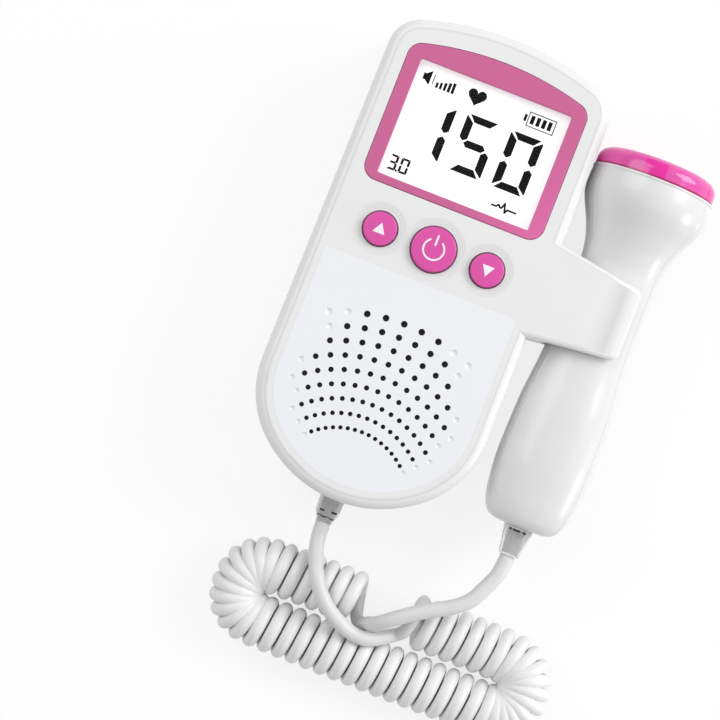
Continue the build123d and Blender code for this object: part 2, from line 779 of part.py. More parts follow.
up_button = push_button(-button_pitch, small_button_r)
power_button = push_button(0, power_button_r)
down_button = push_button(button_pitch, small_button_r)
up_switch_stem = switch_stem(-button_pitch)
power_switch_stem = switch_stem(0)
down_switch_stem = switch_stem(button_pitch)

# Speaker panel with its fan of holes, the outer ones blind
fan_grid = [(row, column) for row, count in enumerate(fan_columns) for column in range(count + 1)]
with BuildPart() as speaker_panel:
    with BuildSketch(Plane.XY.offset(face_z - panel_depth)):
        add(panel_outline(fit_gap))
        add(fan_holes(fan_grid), mode=Mode.SUBTRACT)
    extrude(amount=panel_depth)
    with BuildSketch(Plane.XY.offset(face_z - dimple_depth)):
        add(fan_holes(dimple_columns))
    extrude(amount=dimple_depth, mode=Mode.SUBTRACT)

# Loudspeaker, facing the grille
speaker_axis = Axis((body_x, speaker_y, 0), (0, 0, 1))
flange_high_z = face_z - wall - gasket_thickness
flange_low_z = flange_high_z - frame_thickness
basket_low_z = compartment_top_z + compartment_wall + magnet_gap + magnet_thickness
cone_rim_r = speaker_r - frame_rim - fit_gap

with BuildPart() as speaker_gasket:
    with Locations((body_x, speaker_y, flange_high_z)):
        Cylinder(speaker_r, gasket_thickness, align=FROM_LOW_Z)
        Cylinder(speaker_r - frame_rim + fit_gap, gasket_thickness, align=FROM_LOW_Z,
                 mode=Mode.SUBTRACT)


def speaker_plane_points(*points):
    return [(body_x + r, z) for r, z in points]


with BuildPart() as speaker_frame:
    with BuildSketch(Plane.XZ.offset(-speaker_y)):
        with BuildLine():
            Polyline(*speaker_plane_points(
                (speaker_r, flange_high_z), (speaker_r - frame_rim, flange_high_z),
                (speaker_r - frame_rim, flange_low_z), (basket_r - basket_skin, basket_low_z + basket_skin),
                (0, basket_low_z + basket_skin), (0, basket_low_z), (basket_r, basket_low_z),
                (speaker_r - frame_rim + basket_skin, flange_low_z), (speaker_r, flange_low_z)), close=True)
        make_face()
    revolve(axis=speaker_axis)

with BuildPart() as speaker_cone:
    throat_z = basket_low_z + basket_skin + cone_gap
    with BuildSketch(Plane.XZ.offset(-speaker_y)):
        with BuildLine():
            Polyline(*speaker_plane_points(
                (cone_rim_r, flange_high_z), (cone_throat_r, throat_z), (0, throat_z + cone_throat_r / 3),
                (0, throat_z + cone_throat_r / 3 - cone_skin), (cone_throat_r, throat_z - 2 * cone_skin),
                (cone_rim_r, flange_high_z - cone_skin)), close=True)
        make_face()
    revolve(axis=speaker_axis)

with BuildPart() as speaker_magnet:
    with Locations((body_x, speaker_y, basket_low_z)):
        Cylinder(magnet_r, magnet_thickness, align=FROM_TOP_Z)

# Two AA cells, side by side and head to tail
cell_axis_z = channel_top_z + cell_gap + cell_r
cell_x = cell_r + cell_gap / 2
plate_low_y = compartment_low_y + fit_gap
plate_high_y = compartment_high_y - fit_gap


def cell(x, nub_side):
    # Its nub rests on the plate at the nub's end
    nub_y = plate_high_y - plate_thickness if nub_side > 0 else plate_low_y + plate_thickness
    with BuildPart() as battery:
        with Locations(Plane((body_x + x, nub_y, cell_axis_z), z_dir=(0, -nub_side, 0))):
            Cylinder(cell_nub_r, cell_length, align=FROM_LOW_Z)
        shoulder_y = nub_y - nub_side * cell_nub_length
        with Locations(Plane((body_x + x, shoulder_y, cell_axis_z), z_dir=(0, -nub_side, 0))):
            Cylinder(cell_r, cell_length - cell_nub_length, align=FROM_LOW_Z)
    return battery


battery_cell_left = cell(-cell_x, 1)
battery_cell_right = cell(cell_x, -1)

with BuildPart() as battery_contacts:
    for y, align_y in ((plate_low_y, Align.MIN), (plate_high_y, Align.MAX)):
        with Locations((body_x - cell_x, y, cell_axis_z), (body_x + cell_x, y, cell_axis_z)):
            Box(plate_width, plate_thickness, plate_width, align=(Align.CENTER, align_y, Align.CENTER))


def contact_spring(x, plate_y, side):
    # Compressed between the plate and the flat end of a cell
    length = spring_space - 2 * spring_wire_r
    start = (body_x + x, plate_y + side * (plate_thickness + spring_wire_r), cell_axis_z)
    with BuildPart() as spring:
        with BuildLine():
            coil = Helix(pitch=length / spring_turns, height=length, radius=spring_r, center=start,
                         direction=(0, side, 0))
        with BuildSketch(Plane(origin=coil @ 0, z_dir=coil % 0)):
            Circle(spring_wire_r)
        sweep(is_frenet=True)
    return spring.part


with BuildPart() as contact_springs:
    add(contact_spring(-cell_x, plate_low_y, 1))
    add(contact_spring(cell_x, plate_high_y, -1))


# Modular plugs and sockets: the plug's nose points to +Y and its latch lies on the back
def modular_plug(x, z, rear_y):
    straight_y = rear_y + plug_taper
    nose_y = straight_y + plug_straight
    top_z = z + plug_height / 2
    with BuildPart() as plug:
        with BuildSketch(Plane.XZ.offset(-nose_y)):
            with Locations((x, z)):
                Rectangle(plug_width, plug_height)
        extrude(amount=plug_straight)
        with BuildSketch(Plane.XZ.offset(-straight_y)):
            with Locations((x, z)):
                Rectangle(plug_width, plug_height)
        with BuildSketch(Plane.XZ.offset(-rear_y)):
            with Locations((x, z)):
                Rectangle(plug_rear_width, plug_rear_height)
        loft()
        with Locations((x, straight_y, top_z)):
            Box(plug_pocket_width, plug_pocket_length, 2 * plug_pocket_depth, mode=Mode.SUBTRACT)
        with Locations([(x + spot, nose_y, top_z) for spot in contact_offsets]):
            Box(contact_width + fit_gap, contact_length, contact_depth, align=FROM_HIGH_Y_TOP_Z,
                mode=Mode.SUBTRACT)
        with BuildSketch(Plane.YZ.offset(x)):
            with BuildLine():
                low_z = z - plug_height / 2
                Polyline((nose_y, low_z + latch_thickness), (nose_y, low_z),
                         (nose_y - latch_length, low_z - latch_drop),
                         (nose_y - latch_length, low_z - latch_drop + latch_thickness), close=True)
            make_face()
        extrude(amount=latch_width / 2, both=True)
    return plug


def plug_contacts(x, z, rear_y):
    nose_y = rear_y + plug_taper + plug_straight
    with BuildPart() as blades:
        top_z = z + plug_height / 2 - fit_gap / 2
        with Locations([(x + spot, nose_y - fit_gap / 2, top_z) for spot in contact_offsets]):
            Box(contact_width, contact_length - fit_gap, contact_depth - fit_gap,
                align=FROM_HIGH_Y_TOP_Z)
    return blades


def modular_socket(x, z, mouth_y):
    with BuildPart() as socket:
        with Locations((x, mouth_y, z - socket_drop)):
            Box(socket_width, socket_length, socket_height, align=FROM_LOW_Y)
        with Locations((x, mouth_y, z)):
            Box(plug_width + 2 * socket_gap, 2 * (socket_length - socket_back), plug_height + 2 * socket_gap,
                mode=Mode.SUBTRACT)
        with Locations((x, mouth_y, z - plug_height / 2)):
            Box(latch_width + 4 * socket_gap, 2 * (socket_length - socket_back),
                2 * (latch_drop + socket_gap), mode=Mode.SUBTRACT)
    return socket


def socket_pins(x, z, mouth_y):
    with BuildPart() as pins:
        with Locations([(x + spot, mouth_y + socket_length, z) for spot in contact_offsets]):
            Box(contact_width, socket_pin_length, socket_height / 2, align=FROM_LOW_Y)
    return pins


contact_offsets = [(step - (contact_count - 1) / 2) * contact_pitch for step in range(contact_count)]
main_plug_rear_y = -top_y - main_plug_reach
main_socket = modular_socket(socket_x, socket_z, main_mouth_y)
main_socket_contacts = socket_pins(socket_x, socket_z, main_mouth_y)
main_plug = modular_plug(socket_x, socket_z, main_plug_rear_y)
main_plug_contacts = plug_contacts(socket_x, socket_z, main_plug_rear_y)


def side_x(y):
    # Half width of the casing along its nearly straight sides
    shoulder_y = top_y - arc_drop(top_arc_r, display_end_width / 2)
    widest_y = widest_height()
    share = (y - widest_y) / (shoulder_y - widest_y)
    return body_width / 2 + share * (display_end_width - body_width) / 2


with BuildPart() as headphone_jack:
    nose_x = body_x - side_x(jack_y) + jack_inset
    with Locations(Plane((nose_x, jack_y, jack_z), z_dir=(1, 0, 0))):
        Cylinder(jack_nose_r, jack_nose_length, align=FROM_LOW_Z)
    with Locations((nose_x + wall + fit_gap, jack_y, jack_z)):
        Box(jack_body_length, jack_body_width, jack_body_height,
            align=(Align.MIN, Align.CENTER, Align.CENTER))
    with Locations(Plane((nose_x, jack_y, jack_z), z_dir=(1, 0, 0))):
        Cylinder(jack_bore_r, jack_bore_length, align=FROM_LOW_Z, mode=Mode.SUBTRACT)


# Probe: a waisted grip in two half shells, closed by the pink cap over the crystals
def grip_form(inset):
    end_y = grip_end_y + inset
    with BuildPart() as form:
        for share, before, after, width_share, depth_share, roundness in grip_stations:
            y = cap_joint_y - share * grip_length
            half_width = before[0] + width_share * (after[0] - before[0])
            half_depth = before[1] + depth_share * (after[1] - before[1])
            if y > end_y + inset or share == 1:
                centre = (probe_x, max(y, end_y), probe_axis_z)
                with BuildSketch(Plane(centre, x_dir=(1, 0, 0), z_dir=(0, 1, 0))):
                    RectangleRounded(2 * (half_width - inset), 2 * (half_depth - inset),
                                     roundness * (half_depth - inset))
        loft()
    return form.part


grip_outside = grip_form(0)
probe_socket_y = grip_end_y + probe_wall + fit_gap
probe_port_low_z = probe_axis_z - plug_height / 2 - latch_drop - port_margin

with BuildPart() as grip_hollow:
    add(grip_form(probe_wall))
    with Locations([(probe_x, y, probe_axis_z) for y in grip_screw_spots]):
        Cylinder(grip_boss_r, 4 * head_r, mode=Mode.SUBTRACT)
    with Locations([(probe_x, y, probe_board_z - probe_board_thickness) for y in probe_post_spots]):
        Cylinder(probe_post_r, head_r, align=FROM_TOP_Z, mode=Mode.SUBTRACT)

with BuildPart() as grip:
    add(grip_outside)
    add(grip_hollow.part, mode=Mode.SUBTRACT)
    add(socket_space(probe_x, probe_axis_z, probe_socket_y), mode=Mode.SUBTRACT)
    with Locations((probe_x, grip_end_y, probe_port_low_z)):
        Box(port_width, 4 * probe_wall, port_height, align=FROM_LOW_Z,
            mode=Mode.SUBTRACT)
    with Locations([(probe_x, y, 0) for y in grip_screw_spots]):
        Cylinder(counterbore_r, 2 * grip_screw_seat_z, mode=Mode.SUBTRACT)
    with Locations([(probe_x, y, grip_screw_seat_z) for y in grip_screw_spots]):
        Cylinder(screw_hole_r, probe_axis_z - grip_screw_seat_z, align=FROM_LOW_Z,
                 mode=Mode.SUBTRACT)
    with Locations([(probe_x, y, probe_axis_z) for y in grip_screw_spots]):
        Cylinder(pilot_r, pilot_length, align=FROM_LOW_Z, mode=Mode.SUBTRACT)

with BuildPart() as probe_front_shell:
    add(split(grip.part, bisect_by=Plane.XY.offset(probe_axis_z), keep=Keep.TOP, mode=Mode.PRIVATE))

with BuildPart() as probe_rear_shell:
    add(split(grip.part, bisect_by=Plane.XY.offset(probe_axis_z), keep=Keep.BOTTOM, mode=Mode.PRIVATE))

probe_screws = screw([(probe_x, y) for y in grip_screw_spots], grip_screw_seat_z,
                     probe_axis_z + pilot_length - screw_tip_gap)

cap_face_y = cap_joint_y + cap_length
spigot_r = cap_r - probe_wall - 2 * fit_gap
spigot_hollow_r = spigot_r - cap_wall / 2
backing_r = spigot_hollow_r - backing_gap
crystal_r = backing_r - crystal_rim
with BuildPart() as probe_cap:
    with BuildSketch(Plane.XY.offset(probe_axis_z)) as cap_section:
        with BuildLine():
            Polyline((probe_x, cap_face_y), (probe_x + cap_r, cap_face_y), (probe_x + cap_r, cap_joint_y),
                     (probe_x + spigot_r, cap_joint_y), (probe_x + spigot_r, cap_joint_y - cap_spigot_length),
                     (probe_x + spigot_hollow_r, cap_joint_y - cap_spigot_length),
                     (probe_x + spigot_hollow_r, cap_face_y - cap_wall), (probe_x, cap_face_y - cap_wall),
                     close=True)
        make_face()
        fillet(cap_section.vertices().sort_by_distance((probe_x + cap_r, cap_face_y, probe_axis_z))[0],
               cap_shoulder_r)
    revolve(axis=Axis((probe_x, 0, probe_axis_z), (0, 1, 0)))

crystal_face_y = cap_face_y - cap_wall - fit_gap


def crystal(side):
    # One half disc; the pair sends and receives
    with BuildPart() as disc:
        with BuildSketch(Plane.XZ.offset(-crystal_face_y)):
            with Locations((probe_x, probe_axis_z)):
                Circle(crystal_r)
            with Locations((probe_x - side * (crystal_r - crystal_gap / 2), probe_axis_z)):
                Rectangle(2 * crystal_r, 2 * crystal_r, mode=Mode.SUBTRACT)
        extrude(amount=crystal_thickness)
    return disc


transmit_crystal = crystal(-1)
receive_crystal = crystal(1)

with BuildPart() as crystal_backing:
    with BuildSketch(Plane.XZ.offset(-(crystal_face_y - crystal_thickness))):
        with Locations((probe_x, probe_axis_z)):
            Circle(backing_r)
    extrude(amount=backing_thickness)

with BuildPart() as probe_board:
    with Locations((probe_x, cap_joint_y - probe_board_low_drop, probe_board_z)):
        Box(probe_board_width, probe_board_low_drop - probe_board_high_drop, probe_board_thickness,
            align=FROM_LOW_Y_TOP_Z)

probe_chip_drops = (43.0, 67.0)
with BuildPart() as probe_chips:
    with Locations([(probe_x, cap_joint_y - drop, probe_board_z) for drop in probe_chip_drops]):
        Box(switch_size, switch_size, probe_board_thickness, align=FROM_LOW_Z)

probe_plug_rear_y = grip_end_y - probe_plug_reach
probe_socket = modular_socket(probe_x, probe_axis_z, probe_socket_y)
probe_socket_contacts = socket_pins(probe_x, probe_axis_z, probe_socket_y)
probe_plug = modular_plug(probe_x, probe_axis_z, probe_plug_rear_y)
probe_plug_contacts = plug_contacts(probe_x, probe_axis_z, probe_plug_rear_y)

# Cord: a lead from each plug to the coil, which lies in a long ring below the monitor
main_lead_points = [
    (socket_x, main_plug_rear_y, socket_z),
    (socket_x, main_plug_rear_y - lead_straight, socket_z),
    (-18.3, -87.2, 15.6),
    (-16.0, -91.9, 17.7),
    (-12.8, -96.3, 18.2),
    (-9.2, -100.1, 16.9),
    (-4.8, -102.6, 15.1),
    (0.3, -103.6, 13.9),
    (5.9, -103.6, 13.6),
    (11.2, -102.3, 13.1),
    (16.1, -99.7, 12.2),
    (coil_start_x + lead_run_in, -98.2, 11.2),
]
coil_points = [
    (coil_start_x, back_row_y, coil_r),
    (36.6, back_row_y + 0.5, coil_r),
    (coil_right_x, back_row_y, coil_r),
    (coil_right_x, front_row_y, coil_r),
    (35.4, front_row_y - 0.3, coil_r),
    (8.0, front_row_y - 0.7, coil_r),
    (-17.4, front_row_y - 0.1, coil_r),
    (coil_left_x, front_row_y + 0.3, coil_r),
    (coil_left_x, back_row_y, coil_r),
    (-17.0, back_row_y + 0.4, coil_r),
    (-3.0, back_row_y - 0.2, coil_r),
    (coil_end_x, back_row_y, coil_r),
]
probe_lead_points = [
    (probe_x, probe_plug_rear_y, probe_axis_z),
    (probe_x, probe_plug_rear_y - lead_straight, probe_axis_z),
    (31.7, -78.3, 19.0),
    (28.4, -83.5, 19.1),
    (24.2, -87.6, 18.5),
    (19.5, -90.5, 17.1),
    (15.0, -92.4, 14.6),
    (coil_end_x - lead_run_in, -93.0, 12.2),
]


def bend_radii(points):
    radii = []
    for before, corner, after in zip(points, points[1:], points[2:]):
        run_in = Vector(*corner) - Vector(*before)
        run_out = Vector(*after) - Vector(*corner)
        radii.append(0.45 * min(run_in.length, run_out.length) / tan(radians(run_in.get_angle(run_out) / 2)))
    return radii


def cord_tube(points, tube_r):
    radii = bend_radii(points)
    with BuildPart() as tube:
        with BuildLine():
            route = FilletPolyline(*points, radius=radii)
        with BuildSketch(Plane(origin=route @ 0, z_dir=route % 0)):
            Circle(tube_r)
        sweep()
    ideal = pi * tube_r ** 2 * route.length
    print("bend radii", [round(radius, 1) for radius in radii], "length", round(route.length, 1),
          "volume over section times length", round(tube.part.volume / ideal, 4))
    return tube.part


def cord_lead(points):
    # Trimmed where it runs into the end of the coil
    with BuildPart() as lead:
        add(cord_tube(points, cord_r))
        add(curly_cord.part, mode=Mode.SUBTRACT)
    return lead


with BuildPart() as curly_cord:
    add(cord_tube(coil_points, coil_r))

main_lead = cord_lead(main_lead_points)
probe_lead = cord_lead(probe_lead_points)

pieces = {
    "front_cover": front_cover,
    "rear_cover": rear_cover,
    "speaker_panel": speaker_panel,
    "display_bezel": display_bezel,
    "display_window": display_window,
    "lcd_glass": lcd_glass,
    "lcd_backlight": lcd_backlight,
    "lcd_frame": lcd_frame,
    "contact_strip": contact_strip,
    "main_board": main_board,
    "board_chips": board_chips,
    "tact_switches": tact_switches,
    "up_button": up_button,
    "power_button": power_button,
    "down_button": down_button,
    "up_switch_stem": up_switch_stem,
    "power_switch_stem": power_switch_stem,
    "down_switch_stem": down_switch_stem,
    "speaker_frame": speaker_frame,
    "speaker_cone": speaker_cone,
    "speaker_magnet": speaker_magnet,
    "speaker_gasket": speaker_gasket,
    "battery_door": battery_door,
    "battery_cell_left": battery_cell_left,
    "battery_cell_right": battery_cell_right,
    "battery_contacts": battery_contacts,
    "contact_springs": contact_springs,
    "housing_screws": housing_screws,
    "main_socket": main_socket,
    "main_socket_contacts": main_socket_contacts,
    "headphone_jack": headphone_jack,
    "probe_front_shell": probe_front_shell,
    "probe_rear_shell": probe_rear_shell,
    "probe_cap": probe_cap,
    "transmit_crystal": transmit_crystal,
    "receive_crystal": receive_crystal,
    "crystal_backing": crystal_backing,
    "probe_board": probe_board,
    "probe_chips": probe_chips,
    "probe_socket": probe_socket,
    "probe_socket_contacts": probe_socket_contacts,
    "probe_screws": probe_screws,
    "main_plug": main_plug,
    "main_plug_contacts": main_plug_contacts,
    "probe_plug": probe_plug,
    "probe_plug_contacts": probe_plug_contacts,
    "main_lead": main_lead,
    "curly_cord": curly_cord,
    "probe_lead": probe_lead,
}

os.makedirs("parts", exist_ok=True)
for node, piece in pieces.items():
    piece.part.label = node
    export_step(piece.part, f"parts/{node}.step")
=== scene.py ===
from math import atan2, cos, degrees, pi, radians, sin, sqrt
import bpy
import bmesh
from mathutils import Matrix, Vector


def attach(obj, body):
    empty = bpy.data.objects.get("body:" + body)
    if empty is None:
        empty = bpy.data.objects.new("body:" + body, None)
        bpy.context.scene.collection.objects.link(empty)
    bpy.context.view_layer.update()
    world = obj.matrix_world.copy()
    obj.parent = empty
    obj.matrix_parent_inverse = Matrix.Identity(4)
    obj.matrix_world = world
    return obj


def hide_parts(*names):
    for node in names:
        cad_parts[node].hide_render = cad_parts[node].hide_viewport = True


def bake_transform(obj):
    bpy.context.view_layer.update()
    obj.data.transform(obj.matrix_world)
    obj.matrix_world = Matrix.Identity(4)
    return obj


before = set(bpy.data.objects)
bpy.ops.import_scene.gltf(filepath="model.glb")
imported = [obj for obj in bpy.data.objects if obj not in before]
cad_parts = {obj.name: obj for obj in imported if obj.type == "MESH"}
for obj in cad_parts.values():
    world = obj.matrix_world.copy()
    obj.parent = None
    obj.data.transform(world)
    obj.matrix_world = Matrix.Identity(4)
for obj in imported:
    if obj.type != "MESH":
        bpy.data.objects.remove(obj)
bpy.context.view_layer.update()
scene = bpy.context.scene
mm = 0.001
monitorX = -18.05  # middle line of the monitor, in mm
probeX, probeZ = 33.75, 18.2  # axis of the probe, in mm
print("frame loaded,", len(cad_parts), "nodes")


def linked(name, data):
    obj = bpy.data.objects.new(name, data)
    scene.collection.objects.link(obj)
    return obj


# Camera straight above, turned so that the monitor leans to the right
cameraLook = {"x": -25.9, "y": -30.05, "height": 607.0, "roll": 21.4, "lens": 103.0, "sensor": 36,
              "clipStart": 0.01, "clipEnd": 20}
camera = linked("camera", bpy.data.cameras.new("camera"))
camera.location = Vector((cameraLook["x"], cameraLook["y"], cameraLook["height"])) * mm
camera.rotation_euler = (0, 0, radians(cameraLook["roll"]))
camera.data.lens = cameraLook["lens"]
camera.data.sensor_width = cameraLook["sensor"]
camera.data.clip_start = cameraLook["clipStart"]
camera.data.clip_end = cameraLook["clipEnd"]
scene.camera = camera
print("camera placed")


def bakedMesh(obj):
    # The object's mesh as its modifiers and bevels leave it; the object itself is taken away
    bpy.context.view_layer.update()
    depsgraph = bpy.context.evaluated_depsgraph_get()
    mesh = bpy.data.meshes.new_from_object(obj.evaluated_get(depsgraph))
    bpy.data.objects.remove(obj)
    return mesh


def softenFaces(mesh, limit=38):
    # Smooth faces with a crisp line wherever two of them meet at more than the limit
    form = bmesh.new()
    form.from_mesh(mesh)
    for face in form.faces:
        face.smooth = True
    for edge in form.edges:
        edge.smooth = len(edge.link_faces) != 2 or edge.calc_face_angle(0) < radians(limit)
    form.to_mesh(mesh)
    form.free()
    return mesh


def builtMesh(name, form):
    mesh = bpy.data.meshes.new(name)
    form.to_mesh(mesh)
    form.free()
    return mesh


def joinedMesh(name, parts):
    form = bmesh.new()
    for part in parts:
        form.from_mesh(part)
    return builtMesh(name, form)


# Cord: the route's points in mm, first the lead from the monitor, then the coil, then the lead to the probe
cordLook = {
    "wireR": 2.2,
    "coilGirth": 0.9,
    "turns": 50,
    "turnR": 6.1,
    "pointsPerTurn": 16,
    "easeLength": 6.0,
    "bendCrowding": 6.0,
    "startAngle": 150.0,
    "endAngle": 168.0,
    "greyTurnsIn": 0.67,
    "greyTurnsOut": 0.28,
    "length": 2.03,
}
mainLeadRoute = [
    (-18.75, -76.15, 13.5), (-18.75, -81.7, 13.5), (-17.3, -86.5, 15.8), (-15.4, -91.2, 18.6),
    (-12.4, -95.8, 19.8), (-8.6, -99.4, 19.2), (-4.2, -102.2, 17.4), (0.3, -104.0, 15.9),
    (4.6, -104.4, 14.9), (8.4, -102.8, 13.6),
]
coilRoute = [
    (12.5, -94.9, 8.3), (34.6, -94.6, 8.3), (53.3, -95.1, 8.3), (53.3, -111.5, 8.3),
    (35.4, -111.4, 8.3), (8.0, -111.6, 8.3), (-17.4, -111.4, 8.3), (-34.9, -111.2, 8.3),
    (-34.9, -95.2, 8.3), (-19.0, -94.9, 8.3), (-9.0, -94.9, 8.3), (3.0, -94.9, 8.3),
]
probeLeadRoute = [
    (4.0, -99.9, 13.6), (5.8, -98.9, 17.2), (8.6, -96.4, 19.6), (12.8, -93.0, 20.5), (17.8, -89.6, 20.6),
    (23.6, -86.6, 20.3), (28.6, -82.8, 19.8), (31.2, -77.4, 19.0), (33.75, -72.0, 18.2), (33.75, -66.4, 18.2),
]


def routeCurve(name, points, order, resolution, thickness=0.0, girths=()):
    curve = bpy.data.curves.new(name, "CURVE")
    curve.dimensions = "3D"
    spline = curve.splines.new("NURBS")
    spline.points.add(len(points) - 1)
    for spot, point in zip(spline.points, points):
        spot.co = (point[0] * mm, point[1] * mm, point[2] * mm, 1)
    for spot, girth in zip(spline.points, girths):
        spot.radius = girth
    spline.order_u = order
    spline.use_endpoint_u = True
    spline.resolution_u = resolution
    curve.resolution_u = resolution
    curve.bevel_depth = thickness * mm
    curve.bevel_resolution = 4
    curve.use_fill_caps = thickness > 0
    return linked(name, curve)


def linePoints(curveObject):
    mesh = bakedMesh(curveObject)
    points = [vertex.co / mm for vertex in mesh.vertices]
    bpy.data.meshes.remove(mesh)
    return points


def windingShare(goal, ease):
    # Share of the coil's length by which a share of its turns is wound: few at both ends, even between
    wound = goal * (1 - ease)
    if wound < ease / 2:
        return sqrt(2 * ease * wound)
    if wound > 1 - 1.5 * ease:
        return 1 - sqrt(max(0.0, 2 * ease * (1 - ease - wound)))
    return wound + ease / 2


def helixPoints(axisPoints, look):
    # The wire winds round the coil's axis; its turns crowd together where the axis bends
    headings = [(after - before).normalized() for before, after in zip(axisPoints, axisPoints[1:])]
    marks = [0.0]
    for step, heading in enumerate(headings):
        bend = heading.angle(headings[step - 1]) if step else 0.0
        run = (axisPoints[step + 1] - axisPoints[step]).length
        marks.append(marks[-1] + run + look["bendCrowding"] * bend)
    ease = look["easeLength"] / marks[-1]
    count = look["turns"] * look["pointsPerTurn"]
    sweep = radians(look["endAngle"] - look["startAngle"]) - 2 * pi * look["turns"]
    # Control points stand a little outside the curve that they draw
    spread = look["turnR"] * 4 / (3 + cos(2 * pi / look["pointsPerTurn"]))
    up = Vector((0, 0, 1))
    points = []
    seek = 0
    for step in range(count + 1):
        mark = windingShare(step / count, ease) * marks[-1]
        while seek < len(headings) - 1 and marks[seek + 1] < mark:
            seek += 1
        part = (mark - marks[seek]) / max(marks[seek + 1] - marks[seek], 1e-9)
        centre = axisPoints[seek].lerp(axisPoints[seek + 1], part)
        heading = headings[seek].lerp(headings[min(seek + 1, len(headings) - 1)], part)
        side = up.cross(heading).normalized()
        angle = radians(look["startAngle"]) + sweep * step / count
        points.append(centre + spread * (cos(angle) * side + sin(angle) * up))
    return points


coilAxis = linePoints(routeCurve("coilAxis", coilRoute, 3, 24))
coilPoints = [tuple(spot) for spot in helixPoints(coilAxis, cordLook)]
cordRoute = mainLeadRoute + coilPoints + probeLeadRoute
# The coil's wire is a little thinner than the leads
cordGirths = [1.0] * len(mainLeadRoute) + [cordLook["coilGirth"]] * len(coilPoints)
cordGirths += [1.0] * len(probeLeadRoute)
cordPath = linePoints(routeCurve("cordLine", cordRoute, 3, 6))
cordMesh = bakedMesh(routeCurve("cordTube", cordRoute, 3, 5, cordLook["wireR"], cordGirths))
cordLength = sum((after - before).length for before, after in zip(cordPath, cordPath[1:])) * mm
print("cord wound,", round(cordLength, 3), "m along its middle")


# Shader groups: each puts out colours, masks, roughness or heights that several finishes share
def newGroup(name, inputs, outputs):
    group = bpy.data.node_groups.new(name, "ShaderNodeTree")
    for label, kind, value in inputs:
        socket = group.interface.new_socket(label, in_out="INPUT", socket_type="NodeSocket" + kind)
        socket.default_value = value
    for label, kind in outputs:
        group.interface.new_socket(label, in_out="OUTPUT", socket_type="NodeSocket" + kind)
    return group, group.nodes.new("NodeGroupInput"), group.nodes.new("NodeGroupOutput")


def addNode(tree, kind, **settings):
    node = tree.nodes.new("ShaderNode" + kind)
    for label, value in settings.items():
        setattr(node, label, value)
    return node


def join(tree, source, target):
    # The source is another node's output or a plain value; a colour of three numbers is made opaque
    if isinstance(source, bpy.types.NodeSocket):
        tree.links.new(source, target)
    else:
        target.default_value = (*source, 1.0) if target.type == "RGBA" else source


def mathNode(tree, operation, first, second=None, clamp=False):
    node = addNode(tree, "Math", operation=operation, use_clamp=clamp)
    join(tree, first, node.inputs[0])
    if second is not None:
        join(tree, second, node.inputs[1])
    return node.outputs[0]


def mixColour(tree, mask, first, second):
    mix = addNode(tree, "Mix", data_type="RGBA")
    for source, socket in ((mask, 0), (first, 6), (second, 7)):
        join(tree, source, mix.inputs[socket])
    return mix.outputs[2]


def smoothStep(tree, value, start, end):
    # Zero up to the start, one from the end on; the start may be the larger of the two
    ramp = addNode(tree, "MapRange", interpolation_type="SMOOTHSTEP")
    for label, source in (("Value", value), ("From Min", start), ("From Max", end)):
        join(tree, source, ramp.inputs[label])
    return ramp.outputs["Result"]


def bandMask(tree, value, start, end, soft):
    # One between the two limits, zero outside them, with soft steps
    return mathNode(tree, "MULTIPLY", smoothStep(tree, value, start - soft, start + soft),
                    smoothStep(tree, value, end + soft, end - soft))


def objectPlace(tree):
    return addNode(tree, "TexCoord").outputs["Object"]


def noiseNode(tree, place, scale, detail):
    noise = addNode(tree, "TexNoise")
    for label, source in (("Vector", place), ("Scale", scale), ("Detail", detail)):
        join(tree, source, noise.inputs[label])
    return noise.outputs["Fac"]


def splitAxes(tree, vector):
    split = addNode(tree, "SeparateXYZ")
    join(tree, vector, split.inputs[0])
    return split.outputs


def upwardness(tree):
    # One on a flat top, zero on an upright wall
    return splitAxes(tree, addNode(tree, "NewGeometry").outputs["Normal"])["Z"]


def makeToneDrift():
    # A colour that wanders slowly between two tones; noise up to the threshold leaves the first one
    detail, threshold = 3.0, 0.35
    group, start, end = newGroup(
        "toneDrift",
        [("Tone", "Color", (1, 1, 1, 1)), ("Shade", "Color", (0.8, 0.8, 0.8, 1)),
         ("Scale", "Float", 40.0), ("Spread", "Float", 1.0)],
        [("Color", "Color")])
    slow = noiseNode(group, objectPlace(group), start.outputs["Scale"], detail)
    above = mathNode(group, "SUBTRACT", slow, threshold)
    mask = mathNode(group, "MULTIPLY", above, start.outputs["Spread"], clamp=True)
    colour = mixColour(group, mask, start.outputs["Tone"], start.outputs["Shade"])
    join(group, colour, end.inputs["Color"])
    return group


def makeMouldGrain():
    # Fine spark-erosion grain over a coarser one, with the roughness that goes with it
    fineShare, coarseScale = 0.7, 0.23
    group, start, end = newGroup(
        "mouldGrain",
        [("Scale", "Float", 2500.0), ("Roughness", "Float", 0.4), ("Spread", "Float", 0.1)],
        [("Height", "Float"), ("Roughness", "Float")])
    fine = noiseNode(group, objectPlace(group), start.outputs["Scale"], 2.0)
    wide = mathNode(group, "MULTIPLY", start.outputs["Scale"], coarseScale)
    coarse = noiseNode(group, objectPlace(group), wide, 1.0)
    height = mathNode(group, "ADD", mathNode(group, "MULTIPLY", fine, fineShare),
                      mathNode(group, "MULTIPLY", coarse, 1 - fineShare))
    worn = mathNode(group, "MULTIPLY", mathNode(group, "SUBTRACT", coarse, 0.5), start.outputs["Spread"])
    rough = mathNode(group, "ADD", start.outputs["Roughness"], worn, clamp=True)
    join(group, height, end.inputs["Height"])
    join(group, rough, end.inputs["Roughness"])
    return group


def makeRimShadeMask():
    # Where painted shade goes: one on faces that turn away from straight up, zero on flat tops
    group, start, end = newGroup(
        "rimShadeMask", [("From", "Float", 0.9), ("To", "Float", 0.5)], [("Mask", "Float")])
    mask = smoothStep(group, upwardness(group), start.outputs["From"], start.outputs["To"])
    join(group, mask, end.inputs["Mask"])
    return group


